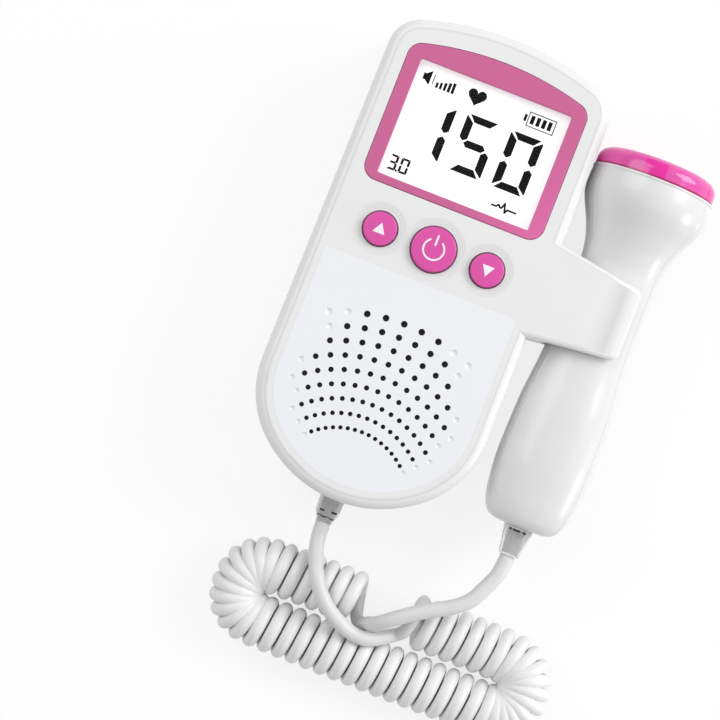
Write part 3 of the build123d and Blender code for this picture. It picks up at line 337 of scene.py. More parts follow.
def makePaintedEdgeShade():
    # Painted shade: a thin band where a flat face starts to turn over into its rounded edge
    group, start, end = newGroup(
        "paintedEdgeShade", [("Inner", "Float", 0.995), ("Outer", "Float", 0.95)], [("Mask", "Float")])
    inner, outer = start.outputs["Inner"], start.outputs["Outer"]
    middle = mathNode(group, "MULTIPLY", mathNode(group, "ADD", inner, outer), 0.5)
    away = mathNode(group, "ABSOLUTE", mathNode(group, "SUBTRACT", upwardness(group), middle))
    half = mathNode(group, "MULTIPLY", mathNode(group, "SUBTRACT", inner, outer), 0.5)
    near = mathNode(group, "SUBTRACT", 1.0, mathNode(group, "DIVIDE", away, half), clamp=True)
    join(group, near, end.inputs["Mask"])
    return group


def makeFadeAcross():
    # Zero to one along a direction, between two distances from the origin
    group, start, end = newGroup(
        "fadeAcross", [("Direction", "Vector", (1, 0, 0)), ("Start", "Float", 0.0), ("End", "Float", 0.05)],
        [("Mask", "Float")])
    along = addNode(group, "VectorMath", operation="DOT_PRODUCT")
    join(group, objectPlace(group), along.inputs[0])
    join(group, start.outputs["Direction"], along.inputs[1])
    mask = smoothStep(group, along.outputs["Value"], start.outputs["Start"], start.outputs["End"])
    join(group, mask, end.inputs["Mask"])
    return group


def makeScuffs():
    # Sparse short rubs from handling: the peaks of a noise that is stretched and turned
    rub = {"stretch": (1.0, 6.0, 2.0), "turn": (0.2, 0.4, 0.7), "detail": 4.0, "threshold": 0.62,
           "contrast": 6.0}
    group, start, end = newGroup(
        "scuffs", [("Scale", "Float", 60.0), ("Amount", "Float", 0.3)], [("Mask", "Float")])
    stretch = addNode(group, "Mapping")
    join(group, objectPlace(group), stretch.inputs["Vector"])
    join(group, rub["stretch"], stretch.inputs["Scale"])
    join(group, rub["turn"], stretch.inputs["Rotation"])
    streak = noiseNode(group, stretch.outputs["Vector"], start.outputs["Scale"], rub["detail"])
    peaks = mathNode(group, "MULTIPLY", mathNode(group, "SUBTRACT", streak, rub["threshold"]),
                     rub["contrast"], clamp=True)
    join(group, mathNode(group, "MULTIPLY", peaks, start.outputs["Amount"]), end.inputs["Mask"])
    return group


toneDrift, mouldGrain = makeToneDrift(), makeMouldGrain()
rimShadeMask, scuffs, paintedEdgeShade, fadeAcross = makeRimShadeMask(), makeScuffs(), makePaintedEdgeShade(), makeFadeAcross()


def placeGroup(tree, group, **values):
    node = addNode(tree, "Group", node_tree=group)
    for label, value in values.items():
        join(tree, value, node.inputs[label])
    return node.outputs


def newMaterial(name):
    material = bpy.data.materials.new(name)
    material.use_nodes = True
    return material, material.node_tree, material.node_tree.nodes["Principled BSDF"]


# What a finish has where its own look doesn't say otherwise
plainLook = {"driftScale": 45.0, "drift": 1.6, "grainScale": 2600.0, "roughSpread": 0.04, "scuffScale": 90.0,
             "scuffs": 0.08, "rubTint": 0.25, "rubRough": 0.3, "grainStrength": 0.1, "grainHeight": 0.00001,
             "shader": {}}


def finish(name, ownLook):
    # A surface with slow tone drift, moulded grain and a few handling rubs,
    # and any painted light and shade that its look asks for
    look = dict(plainLook, **ownLook)
    material, tree, shader = newMaterial(name)
    colour = placeGroup(tree, toneDrift, Tone=look["tone"], Shade=look["shade"], Scale=look["driftScale"],
                        Spread=look["drift"])["Color"]
    grain = placeGroup(tree, mouldGrain, Scale=look["grainScale"], Roughness=look["roughness"],
                       Spread=look["roughSpread"])
    rubs = placeGroup(tree, scuffs, Scale=look["scuffScale"], Amount=look["scuffs"])["Mask"]
    # Painted light: a lighter colour that fades in along a direction
    if "paintedLightFade" in look:
        paintedLightFade = placeGroup(tree, fadeAcross, Direction=look["fadeDirection"], Start=look["fadeStart"],
                          End=look["fadeEnd"])
        colour = mixColour(tree, paintedLightFade["Mask"], colour, look["paintedLightFade"])
    # Painted shade: a darker line where a flat face turns over into its rounded edge
    if "paintedEdgeShade" in look:
        edge = placeGroup(tree, paintedEdgeShade, Inner=look["lineInner"], Outer=look["lineOuter"])
        colour = mixColour(tree, edge["Mask"], colour, look["paintedEdgeShade"])
    # Painted shade on faces that turn away from straight up
    if "rim" in look:
        rim = placeGroup(tree, rimShadeMask, From=look["rimFrom"], To=look["rimTo"])
        colour = mixColour(tree, rim["Mask"], colour, look["rim"])
    rubbed = mathNode(tree, "MULTIPLY", rubs, look["rubTint"])
    colour = mixColour(tree, rubbed, colour, look["shade"])
    rough = mathNode(tree, "ADD", grain["Roughness"], mathNode(tree, "MULTIPLY", rubs, look["rubRough"]),
                     clamp=True)
    bump = addNode(tree, "Bump")
    join(tree, look["grainStrength"], bump.inputs["Strength"])
    join(tree, look["grainHeight"], bump.inputs["Distance"])
    join(tree, grain["Height"], bump.inputs["Height"])
    join(tree, colour, shader.inputs["Base Color"])
    join(tree, rough, shader.inputs["Roughness"])
    join(tree, bump.outputs["Normal"], shader.inputs["Normal"])
    for label, value in look["shader"].items():
        join(tree, value, shader.inputs[label])
    return material


# Finishes of the casing and everything on and in it
looks = {
    # The casing's darker line where its face turns over into its rounded edge is painted shade
    "whiteCasing": {"tone": (0.83, 0.83, 0.832), "shade": (0.80, 0.802, 0.806), "roughness": 0.34,
                    "paintedEdgeShade": (0.66, 0.66, 0.67), "lineInner": 0.9995, "lineOuter": 0.965,
                    "shader": {"Coat Weight": 0.12, "Coat Roughness": 0.12}},
    "whitePanel": {"tone": (0.865, 0.872, 0.905), "shade": (0.84, 0.85, 0.885), "roughness": 0.4,
                   "driftScale": 30.0},
    # The bezel's lighter fade towards its lower right is painted light and its darker sloped faces painted
    # shade
    "pinkBezel": {"tone": (0.594, 0.126, 0.30), "shade": (0.63, 0.132, 0.31), "roughness": 0.3,
                  "driftScale": 22.0, "paintedLightFade": (0.775, 0.153, 0.42), "fadeDirection": (0.8, -0.6, 0.0),
                  "fadeStart": -0.028, "fadeEnd": 0.006,
                  "rim": (0.46, 0.09, 0.23), "rimFrom": 0.85, "rimTo": 0.2},
    # The button's darker rolled edge is painted shade
    "pinkButton": {"tone": (0.73, 0.087, 0.395), "shade": (0.69, 0.078, 0.37), "roughness": 0.32,
                   "rim": (0.25, 0.022, 0.12), "rimFrom": 0.93, "rimTo": 0.55},
    "whiteIcon": {"tone": (0.93, 0.87, 0.91), "shade": (0.87, 0.8, 0.85), "roughness": 0.45},
    # The display's glow is painted light: it lifts its white and lightens the shade at its recessed edges
    "lcdGlowWhite": {"tone": (0.93, 0.93, 0.93), "shade": (0.89, 0.9, 0.9), "roughness": 0.35,
                 "driftScale": 20.0, "grainStrength": 0.04,
                 "shader": {"Emission Color": (1, 1, 1), "Emission Strength": 0.45}},
    "lcdInk": {"tone": (0.004, 0.004, 0.004), "shade": (0.009, 0.009, 0.008), "roughness": 0.6,
               "driftScale": 300.0, "scuffs": 0.0, "shader": {"Specular IOR Level": 0.0}},
    "lcdFaintInk": {"tone": (0.2, 0.2, 0.2), "shade": (0.28, 0.28, 0.28), "roughness": 0.45,
                    "driftScale": 300.0},
    "probeWhite": {"tone": (0.765, 0.765, 0.77), "shade": (0.735, 0.737, 0.742), "roughness": 0.3,
                   "roughSpread": 0.0, "scuffs": 0.0, "rubTint": 0.0,
                   "shader": {"Coat Weight": 0.2, "Coat Roughness": 0.1}},
    "coilWhite": {"tone": (0.83, 0.83, 0.83), "shade": (0.78, 0.78, 0.785), "roughness": 0.4,
                  "driftScale": 120.0},
    "milkyPlastic": {"tone": (0.8, 0.8, 0.76), "shade": (0.7, 0.7, 0.66), "roughness": 0.45},
    "blackPlastic": {"tone": (0.02, 0.02, 0.022), "shade": (0.035, 0.035, 0.036), "roughness": 0.42},
    "greyRubber": {"tone": (0.09, 0.09, 0.095), "shade": (0.13, 0.13, 0.13), "roughness": 0.75,
                   "grainScale": 900.0},
    "blackCone": {"tone": (0.012, 0.012, 0.012), "shade": (0.03, 0.028, 0.026), "roughness": 0.85,
                  "grainScale": 700.0},
    "blackFoam": {"tone": (0.015, 0.015, 0.015), "shade": (0.035, 0.035, 0.035), "roughness": 0.95,
                  "grainScale": 1400.0, "grainStrength": 0.6, "grainHeight": 0.0002},
    "cellJacket": {"tone": (0.05, 0.11, 0.2), "shade": (0.035, 0.08, 0.15), "roughness": 0.3},
    "silveredCrystal": {"tone": (0.78, 0.77, 0.72), "shade": (0.62, 0.6, 0.54), "roughness": 0.5,
                        "shader": {"Metallic": 0.85}},
    "steel": {"tone": (0.6, 0.6, 0.61), "shade": (0.45, 0.45, 0.46), "roughness": 0.34,
              "driftScale": 300.0, "shader": {"Metallic": 1.0}},
    "nickel": {"tone": (0.68, 0.67, 0.63), "shade": (0.55, 0.54, 0.5), "roughness": 0.26,
               "driftScale": 260.0, "shader": {"Metallic": 1.0}},
    "gilt": {"tone": (0.83, 0.6, 0.2), "shade": (0.7, 0.48, 0.14), "roughness": 0.22,
             "driftScale": 300.0, "shader": {"Metallic": 1.0}},
    "clearWindow": {"tone": (0.25, 0.26, 0.27), "shade": (0.2, 0.21, 0.22), "roughness": 0.05,
                    "roughSpread": 0.02, "grainStrength": 0.02,
                    "shader": {"Alpha": 0.02, "Specular IOR Level": 0.3}},
    "clearPlug": {"tone": (0.8, 0.8, 0.805), "shade": (0.68, 0.68, 0.69), "roughness": 0.12,
                  "roughSpread": 0.06, "driftScale": 90.0, "grainStrength": 0.05,
                  "shader": {"Transmission Weight": 0.55, "IOR": 1.49}},
    # This finish's pale strips along the plugs' upper edges are painted highlights
    "plugRim": {"tone": (0.97, 0.97, 0.97), "shade": (0.92, 0.92, 0.925), "roughness": 0.12,
                "driftScale": 90.0, "shader": {"Transmission Weight": 0.1, "IOR": 1.49}},
}
# The grip's sides and rear shell take a lighter copy of the probe's white: painted light along its sides
looks["probeBandWhite"] = dict(looks["probeWhite"], tone=(0.9, 0.9, 0.9), shade=(0.88, 0.88, 0.885))
# The leads and the wire's ends in the plugs take a darker copy of the coil's white: painted shade
looks["leadGrey"] = dict(looks["coilWhite"], tone=(0.71, 0.71, 0.71), shade=(0.67, 0.67, 0.675))
finishes = {name: finish(name, look) for name, look in looks.items()}


def boardFinish():
    # Solder mask over a faint pattern of tracks
    look = {"mask": (0.02, 0.16, 0.07), "track": (0.04, 0.26, 0.12), "trackScale": 260.0, "trackFrom": 0.55,
            "grainScale": 1800.0, "roughness": 0.3, "roughSpread": 0.15}
    material, tree, shader = newMaterial("greenBoard")
    cells = addNode(tree, "TexVoronoi", distance="MANHATTAN")
    join(tree, look["trackScale"], cells.inputs["Scale"])
    join(tree, objectPlace(tree), cells.inputs["Vector"])
    lines = mathNode(tree, "GREATER_THAN", cells.outputs["Distance"], look["trackFrom"])
    colour = mixColour(tree, lines, look["mask"], look["track"])
    grain = placeGroup(tree, mouldGrain, Scale=look["grainScale"], Roughness=look["roughness"],
                       Spread=look["roughSpread"])
    join(tree, colour, shader.inputs["Base Color"])
    join(tree, grain["Roughness"], shader.inputs["Roughness"])
    return material


def capFinish():
    # Tinted plastic with painted reflections in deeper bands about the probe's axis, and painted shade along
    # its lower rim
    look = {"tint": (0.88, 0.085, 0.45), "pale": (0.9, 0.13, 0.5), "driftScale": 50.0, "drift": 1.8,
            "paintedReflectionDeep": (0.93, 0.022, 0.42), "paintedReflectionBands": 5.0, "reflectionBandShare": 0.3, "reflectionBandPhase": 0.62, "reflectionBandFade": 0.02,
            "reflectionBandTopY": 51.6, "reflectionBandTopFade": 0.4, "rim": (0.42, 0.02, 0.13), "rimFromY": 47.65, "rimToY": 47.4,
            "grainScale": 1500.0, "roughness": 0.16, "roughSpread": 0.06,
            "shader": {"Transmission Weight": 0.15, "IOR": 1.49, "Coat Weight": 0.3, "Coat Roughness": 0.05}}
    material, tree, shader = newMaterial("pinkCap")
    axes = splitAxes(tree, objectPlace(tree))
    # Painted reflections: deeper bands set by the turn about the probe's axis, up to a height
    across = mathNode(tree, "SUBTRACT", axes["X"], probeX * mm)
    up = mathNode(tree, "SUBTRACT", axes["Z"], probeZ * mm)
    turn = mathNode(tree, "DIVIDE", mathNode(tree, "ARCTAN2", across, up), 2 * pi)
    spoke = mathNode(tree, "ADD", mathNode(tree, "MULTIPLY", turn, look["paintedReflectionBands"]), look["reflectionBandPhase"])
    reflectionBand = bandMask(tree, mathNode(tree, "FRACT", spoke), 0.5 - look["reflectionBandShare"] / 2,
                   0.5 + look["reflectionBandShare"] / 2, look["reflectionBandFade"])
    below = bandMask(tree, axes["Y"], 0.0, look["reflectionBandTopY"] * mm, look["reflectionBandTopFade"] * mm)
    drift = placeGroup(tree, toneDrift, Tone=look["tint"], Shade=look["pale"], Scale=look["driftScale"],
                       Spread=look["drift"])
    colour = mixColour(tree, mathNode(tree, "MULTIPLY", reflectionBand, below), drift["Color"], look["paintedReflectionDeep"])
    # Painted shade along the cap's lower rim
    low = smoothStep(tree, axes["Y"], look["rimFromY"] * mm, look["rimToY"] * mm)
    grain = placeGroup(tree, mouldGrain, Scale=look["grainScale"], Roughness=look["roughness"],
                       Spread=look["roughSpread"])
    join(tree, mixColour(tree, low, colour, look["rim"]), shader.inputs["Base Color"])
    join(tree, grain["Roughness"], shader.inputs["Roughness"])
    for label, value in look["shader"].items():
        join(tree, value, shader.inputs[label])
    return material


finishes["greenBoard"], finishes["pinkCap"] = boardFinish(), capFinish()

nodeFinishes = {
    "whiteCasing": ["front_cover", "rear_cover", "battery_door"],
    "whitePanel": ["up_switch_stem", "power_switch_stem", "down_switch_stem"],
    "clearWindow": ["display_window"],
    "lcdGlowWhite": ["lcd_glass"],
    "milkyPlastic": ["lcd_backlight"],
    "greyRubber": ["contact_strip"],
    "greenBoard": ["main_board", "probe_board"],
    "blackPlastic": ["lcd_frame", "board_chips", "tact_switches", "main_socket", "headphone_jack",
                     "crystal_backing", "probe_chips", "probe_socket"],
    "steel": ["speaker_frame", "speaker_magnet"],
    "blackCone": ["speaker_cone"],
    "blackFoam": ["speaker_gasket"],
    "cellJacket": ["battery_cell_left", "battery_cell_right"],
    "nickel": ["battery_contacts", "contact_springs", "housing_screws", "probe_screws"],
    "gilt": ["main_socket_contacts", "probe_socket_contacts", "main_plug_contacts", "probe_plug_contacts"],
    "pinkCap": ["probe_cap"],
    "silveredCrystal": ["transmit_crystal", "receive_crystal"],
}
for look, nodeNames in nodeFinishes.items():
    for nodeName in nodeNames:
        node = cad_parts[nodeName]
        if not node.material_slots:
            node.data.materials.append(finishes[look])
        for slot in node.material_slots:
            slot.material = finishes[look]
print("finishes made")


def piece(name, mesh, look, body, stands=()):
    # A visible piece that rides on a body; a mesh with two finishes names both, by the faces' index
    mesh.name = name
    mesh.materials.clear()
    for part in look if isinstance(look, tuple) else (look,):
        mesh.materials.append(finishes[part])
    obj = linked(name, mesh)
    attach(obj, body)
    if stands:
        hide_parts(*stands)
    return obj


def plate(name, loops, lowZ, topZ, rounding=0.0, swell=0.0):
    # A flat plate with the outlines given in mm, swollen if asked; an outline inside another is a hole
    curve = bpy.data.curves.new(name, "CURVE")
    curve.dimensions = "2D"
    curve.fill_mode = "BOTH"
    for loop in loops:
        spline = curve.splines.new("POLY")
        spline.points.add(len(loop) - 1)
        for spot, (x, y) in zip(spline.points, loop):
            spot.co = (x * mm, y * mm, 0, 1)
        spline.use_cyclic_u = True
    curve.extrude = ((topZ - lowZ) / 2 - rounding) * mm
    curve.bevel_depth = rounding * mm
    curve.bevel_resolution = 3
    curve.offset = (swell - rounding) * mm
    mesh = bakedMesh(linked(name, curve))
    mesh.transform(Matrix.Translation((0, 0, (lowZ + topZ) / 2 * mm)))
    return softenFaces(mesh, 30)


def plates(name, items, swell=0.0):
    # Separate plates in one mesh; each item is an outline with its low and top height
    return joinedMesh(name, [plate(name, [outline], low, top, swell=swell) for outline, low, top in items])


def arcPoints(centre, radius, start, end, count):
    return [(centre[0] + radius * cos(radians(start + (end - start) * step / count)),
             centre[1] + radius * sin(radians(start + (end - start) * step / count)))
            for step in range(count + 1)]


def ringPoints(centre, radius, count):
    return arcPoints(centre, radius, 0, 360, count)[:-1]


def shifted(points, x, y):
    return [(x + across, y + up) for across, up in points]


def lathe(profile, centre, steps=96, alongY=False, closed=True):
    # Profile points are radius and height, in mm, turned about an upright or a lengthwise axis
    form = bmesh.new()
    rings = []
    for radius, height in profile:
        ring = []
        for step in range(1 if radius < 1e-6 else steps):
            angle = 2 * pi * step / steps
            across, up = radius * cos(angle), radius * sin(angle)
            spot = (across, height, up) if alongY else (across, up, height)
            ring.append(form.verts.new((Vector(centre) + Vector(spot)) * mm))
        rings.append(ring)
    for first, second in zip(rings, rings[1:]):
        for step in range(steps):
            corners = [first[step % len(first)], first[(step + 1) % len(first)],
                       second[(step + 1) % len(second)], second[step % len(second)]]
            kept = list(dict.fromkeys(corners))
            if len(kept) > 2:
                form.faces.new(kept)
    bmesh.ops.recalc_face_normals(form, faces=form.faces)
    if not closed and form.faces[0].normal.z < 0:
        bmesh.ops.reverse_faces(form, faces=form.faces)
    return softenFaces(builtMesh("lathe", form))


# Display bezel: an arched top, straight sides and rounded corners, with softened edges
bezelShape = {"halfWidth": 26.7, "topY": 61.7, "lowY": 18.2, "archR": 90.0, "cornerR": 4.2,
              "windowHalfX": 22.5, "windowLowY": 20.6, "windowTopY": 54.6, "windowCornerR": 0.5,
              "lowZ": 31.5, "topZ": 33.05, "rounding": 0.28}


def bezelLoops(shape):
    corner = shape["cornerR"]
    archY = shape["topY"] - shape["archR"]
    # Centre of each top corner's round: inside the side and inside the arch by the corner's radius
    reach = shape["archR"] - corner
    cornerX = shape["halfWidth"] - corner
    cornerY = archY + sqrt(reach ** 2 - cornerX ** 2)
    lean = 90 - degrees(cornerX / reach)  # so small an angle is about its sine
    outer = arcPoints((monitorX + cornerX, cornerY), corner, 0, lean, 10)
    outer += arcPoints((monitorX, archY), shape["archR"], lean, 180 - lean, 40)[1:-1]
    outer += arcPoints((monitorX - cornerX, cornerY), corner, 180 - lean, 180, 10)
    for turn, side in ((180, -1), (270, 1)):
        outer += arcPoints((monitorX + side * cornerX, shape["lowY"] + corner), corner, turn, turn + 90, 12)
    small = shape["windowCornerR"]
    wide, highY, lowY = shape["windowHalfX"] - small, shape["windowTopY"] - small, shape["windowLowY"] + small
    inner = []
    for turn, x, y in ((0, wide, highY), (90, -wide, highY), (180, -wide, lowY), (270, wide, lowY)):
        inner += arcPoints((monitorX + x, y), small, turn, turn + 90, 5)
    return [outer, inner]


bezelMesh = plate("bezelRing", bezelLoops(bezelShape), bezelShape["lowZ"], bezelShape["topZ"],
                  bezelShape["rounding"])
piece("bezelRing", bezelMesh, "pinkBezel", "monitor", ["display_bezel"])

# Speaker panel: a fan of sound holes with softened rims, and blind dimples that carry the fan on
panelShape = {"inset": 5.0, "topY": -3.95, "cornerR": 0.7, "lowZ": 31.86, "topZ": 33.03, "rounding": 0.06,
              "sideHalf": 33.7, "sideTaper": 0.8, "taperFromY": -38.0, "taperToY": 62.7,
              "cornerArcR": 28.0, "cornerArcX": 5.7, "cornerArcY": -39.06, "endArcR": 36.5, "endArcY": -32.75}
fanShape = {"originY": -68.8, "firstR": 20.2, "rowStep": 4.04, "angleStep": 5.85, "firstHoleR": 0.61,
            "holeGrowth": 0.042, "columns": (7, 7, 7, 6, 6, 5, 4, 3, 2), "dimpleDepth": 0.5,
            "dimples": ((0, 8), (1, 8), (2, 8), (3, 7), (4, 7), (5, 6), (7, 4), (8, 3), (8, 4)),
            "dish": ((0.4, 0.95), (0.75, 0.75)), "dishRim": (0.04, 0.3),
            "clothR": 23.6, "clothY": -37.5, "clothLowZ": 31.8, "clothTopZ": 31.85}


def panelOutline(shape):
    inset, cornerR = shape["inset"], shape["cornerR"]
    share = (shape["topY"] - shape["taperFromY"]) / (shape["taperToY"] - shape["taperFromY"])
    topX = shape["sideHalf"] - shape["sideTaper"] * share - inset
    turn = degrees(atan2(shape["cornerArcY"] - shape["endArcY"], shape["cornerArcX"]))
    right = arcPoints((topX - cornerR, shape["topY"] - cornerR), cornerR, 90, 0, 6)
    right += arcPoints((shape["cornerArcX"], shape["cornerArcY"]), shape["cornerArcR"] - inset, 0, turn, 24)
    right += arcPoints((0, shape["endArcY"]), shape["endArcR"] - inset, turn, -90, 20)[1:]
    return [(monitorX + x, y) for x, y in right] + [(monitorX - x, y) for x, y in reversed(right[:-1])]


def fanSpots(spots):
    for row, column in spots:
        for side in ((0,) if column == 0 else (-1, 1)):
            angle = radians(side * column * fanShape["angleStep"])
            ring = fanShape["firstR"] + row * fanShape["rowStep"]
            yield (monitorX + ring * sin(angle), fanShape["originY"] + ring * cos(angle),
                   fanShape["firstHoleR"] + row * fanShape["holeGrowth"])


def dishMesh(x, y, radius):
    # A shallow dish: shares of the hole's radius and of the full depth, and a rim just past the hole
    top, depth = panelShape["topZ"], fanShape["dimpleDepth"]
    beyond, rimDepth = fanShape["dishRim"]
    profile = [(0, top - depth)] + [(radius * out, top - depth * down) for out, down in fanShape["dish"]]
    return lathe(profile + [(radius + beyond, top - depth * rimDepth)], (x, y, 0), 24, closed=False)


soundHoles = [(row, column) for row, count in enumerate(fanShape["columns"]) for column in range(count + 1)]
panelLoops = [panelOutline(panelShape)]
for x, y, radius in fanSpots(soundHoles + list(fanShape["dimples"])):
    panelLoops.append(ringPoints((x, y), radius, 24))
panelParts = [plate("panelPlate", panelLoops, panelShape["lowZ"], panelShape["topZ"], panelShape["rounding"])]
panelParts += [dishMesh(x, y, radius) for x, y, radius in fanSpots(fanShape["dimples"])]
piece("speakerPanel", joinedMesh("speakerPanel", panelParts), "whitePanel", "monitor",
      ["speaker_panel"])
clothRing = ringPoints((monitorX, fanShape["clothY"]), fanShape["clothR"], 96)
clothMesh = plate("speakerCloth", [clothRing], fanShape["clothLowZ"], fanShape["clothTopZ"])
piece("speakerCloth", clothMesh, "blackFoam", "monitor")
print("speaker panel made")

# Figures and signs of the display, drawn in small squares of its own grid about its middle
lcdGrid = {"unit": 0.2799, "x": -18.17, "y": 37.69, "lowZ": 30.36, "topZ": 30.4, "digitWidth": 34.0}
figureShape = {
    "digits": (("1", -62.6), ("5", -16.4), ("0", 30.4)),
    "smallDigits": (("3", -73.6), ("0", -61.6)), "smallY": -45.2, "smallScale": 0.26, "smallSwell": 0.045,
    "point": (-64.2, -53.4, -62.6, -51.6),
    "heart": (-14.6, 45.6, 0.6),
    "horn": [(-72.4, 43), (-69.8, 43), (-64.4, 38.8), (-64.4, 54), (-69.8, 49.6), (-72.4, 49.6)],
    "soundBars": [(-57.6, 39.2, -55.0, 44.8), (-53.6, 39.2, -51.0, 46), (-49.4, 39.2, -46.6, 47.4),
                  (-45.2, 39.2, -42.2, 48.8), (-41.0, 39.2, -38.0, 50.2)],
    "batteryBars": [(left, 39.8, left + 4.0, 48.8) for left in (43.6, 49.7, 55.8, 61.9)],
    "batteryTip": (36.6, 40.6, 39.4, 47.8),
    "trace": [(38, -49), (43, -49), (45, -46.6), (47, -49), (48.6, -49), (50.6, -43.4), (53, -52.6),
              (54.8, -49), (64, -49)],
    "traceHalf": 0.95,
    "faint": [(40.4, 36.4, 69.6, 51.8), (41.7, 37.7, 68.3, 50.5), (-61.8, 41.4, -60.6, 51.2)],
}
segments = {
    "top": [(2.4, 27.8), (31.6, 27.8), (25.2, 20.6), (8.8, 20.6)],
    "bottom": [(2.4, -31.6), (31.6, -31.6), (25.2, -24.2), (8.8, -24.2)],
    "middle": [(5.4, -1.8), (8.8, 1.9), (25.4, 1.9), (28.8, -1.8), (25.4, -5.5), (8.8, -5.5)],
    "upperLeft": [(-0.4, 2.8), (3.8, -0.3), (8.0, 2.8), (8.0, 19.6), (0.6, 25.6), (-0.4, 25)],
    "lowerLeft": [(-0.4, -6.8), (3.8, -3.7), (8.0, -6.8), (8.0, -23.2), (0.6, -29.2), (-0.4, -28.6)],
}
for side in ("upper", "lower"):
    segments[side + "Right"] = [(lcdGrid["digitWidth"] - x, y) for x, y in segments[side + "Left"]]
digitSegments = {
    "0": ("top", "bottom", "upperLeft", "lowerLeft", "upperRight", "lowerRight"),
    "1": ("upperRight", "lowerRight"),
    "3": ("top", "middle", "bottom", "upperRight", "lowerRight"),
    "5": ("top", "upperLeft", "middle", "lowerRight", "bottom"),
}


def onGlass(points):
    return [(lcdGrid["x"] + x * lcdGrid["unit"], lcdGrid["y"] + y * lcdGrid["unit"]) for x, y in points]


def digit(figure, left, middleY=0.0, scale=1.0):
    return [onGlass([(left + x * scale, middleY + y * scale) for x, y in segments[part]])
            for part in digitSegments[figure]]


def bar(left, low, right, top):
    return onGlass([(left, low), (right, low), (right, top), (left, top)])


def strokeLoop(start, end, half):
    # A straight stroke, a little longer than its ends so that strokes join
    run, rise = end[0] - start[0], end[1] - start[1]
    length = sqrt(run ** 2 + rise ** 2)
    run, rise = run / length * half, rise / length * half
    first, last = (start[0] - run / 2, start[1] - rise / 2), (end[0] + run / 2, end[1] + rise / 2)
    return [(first[0] - rise, first[1] + run), (first[0] + rise, first[1] - run),
            (last[0] + rise, last[1] - run), (last[0] - rise, last[1] + run)]


def heart(centreX, centreY, scale, count=48):
    points = []
    for step in range(count):
        turn = 2 * pi * step / count
        height = 13 * cos(turn) - 5 * cos(2 * turn) - 2 * cos(3 * turn) - cos(4 * turn)
        points.append((centreX + scale * 16 * sin(turn) ** 3, centreY + scale * height))
    return onGlass(points)


inkLoops = []
for figure, left in figureShape["digits"]:
    inkLoops += digit(figure, left)
inkLoops += [heart(*figureShape["heart"]), onGlass(figureShape["horn"])]
inkLoops += [bar(*box) for box in figureShape["soundBars"] + figureShape["batteryBars"]]
inkLoops.append(bar(*figureShape["batteryTip"]))
# A small pulse trace under the figures
for start, end in zip(figureShape["trace"], figureShape["trace"][1:]):
    inkLoops.append(onGlass(strokeLoop(start, end, figureShape["traceHalf"])))
smallLoops = []
for figure, left in figureShape["smallDigits"]:
    smallLoops += digit(figure, left, figureShape["smallY"], figureShape["smallScale"])
smallLoops.append(bar(*figureShape["point"]))
for name, loops, swell in (("lcdFigures", inkLoops, 0.0),
                           ("lcdSmallFigures", smallLoops, figureShape["smallSwell"])):
    items = [(loop, lcdGrid["lowZ"], lcdGrid["topZ"]) for loop in loops]
    piece(name, plates(name, items, swell), "lcdInk", "monitor")
faintLoops = [bar(*box) for box in figureShape["faint"]]
faintMesh = plate("lcdFaintFigures", faintLoops, lcdGrid["lowZ"], lcdGrid["topZ"])
piece("lcdFaintFigures", faintMesh, "lcdFaintInk", "monitor")
print("display drawn")

# Buttons: a slightly domed cap with a rolled edge, the flange that holds it in and the boss below it
buttonShape = {
    "y": 6.05, "pitch": 16.0, "smallR": 4.9, "powerR": 6.5, "topZ": 34.2, "dome": 0.1,
    "domeFall": ((0.0, 0.0), (0.4, 0.12), (0.7, 0.45)), "edgeR": 0.62, "edgeSteps": 6,
    "flange": 0.9, "flangeTopZ": 30.8, "flangeLowZ": 29.8, "bossR": 2.2, "bossLowZ": 27.6,
    "collar": [(0.24, 32.4), (0.24, 32.78), (0.32, 32.88), (0.56, 32.88), (0.78, 32.7), (0.86, 32.4)],
}
signShape = {
    "topZ": 34.24, "lowZ": 34.0,
    "up": [(-1.78, -1.35), (1.78, -1.35), (0, 1.75)],
    "down": [(-1.78, 1.3), (0, -1.8), (1.78, 1.3)],
    "ringR": 3.22, "ringInnerR": 2.7, "ringStart": 124, "ringEnd": 416,
    "stem": [(-0.28, 1.1), (0.28, 1.1), (0.28, 4.2), (-0.28, 4.2)],
}


def buttonMesh(x, radius, shape):
    edge, top, dome = shape["edgeR"], shape["topZ"], shape["dome"]
    profile = [(radius * out, top - dome * fall) for out, fall in shape["domeFall"]]
    profile += arcPoints((radius - edge, top - dome - edge), edge, 90, 0, shape["edgeSteps"])
    outer = radius + shape["flange"]
    profile += [(radius, shape["flangeTopZ"]), (outer, shape["flangeTopZ"]), (outer, shape["flangeLowZ"]),
                (shape["bossR"], shape["flangeLowZ"]), (shape["bossR"], shape["bossLowZ"]),
                (0, shape["bossLowZ"])]
    return lathe(profile, (x, shape["y"], 0))


def powerSign(shape):
    # An open ring and a bar through its gap
    start, end = shape["ringStart"], shape["ringEnd"]
    ring = arcPoints((0, 0), shape["ringR"], start, end, 60)
    ring += arcPoints((0, 0), shape["ringInnerR"], end, start, 60)
    return [ring, shape["stem"]]


for name, x, radius, signs in (
        ("up", monitorX - buttonShape["pitch"], buttonShape["smallR"], [signShape["up"]]),
        ("power", monitorX, buttonShape["powerR"], powerSign(signShape)),
        ("down", monitorX + buttonShape["pitch"], buttonShape["smallR"], [signShape["down"]])):
    body = name + "_key"
    keyMesh = buttonMesh(x, radius, buttonShape)
    piece(name + "Key", keyMesh, "pinkButton", body, [name + "_button"])
    signLoops = [shifted(loop, x, buttonShape["y"]) for loop in signs]
    signMesh = plate(name + "Sign", signLoops, signShape["lowZ"], signShape["topZ"])
    piece(name + "Sign", signMesh, "whiteIcon", body)
    ring = [(radius + beyond, z) for beyond, z in buttonShape["collar"]]
    collarMesh = lathe(ring, (x, buttonShape["y"], 0))
    piece(name + "Collar", collarMesh, "whiteCasing", "monitor")
print("buttons made")

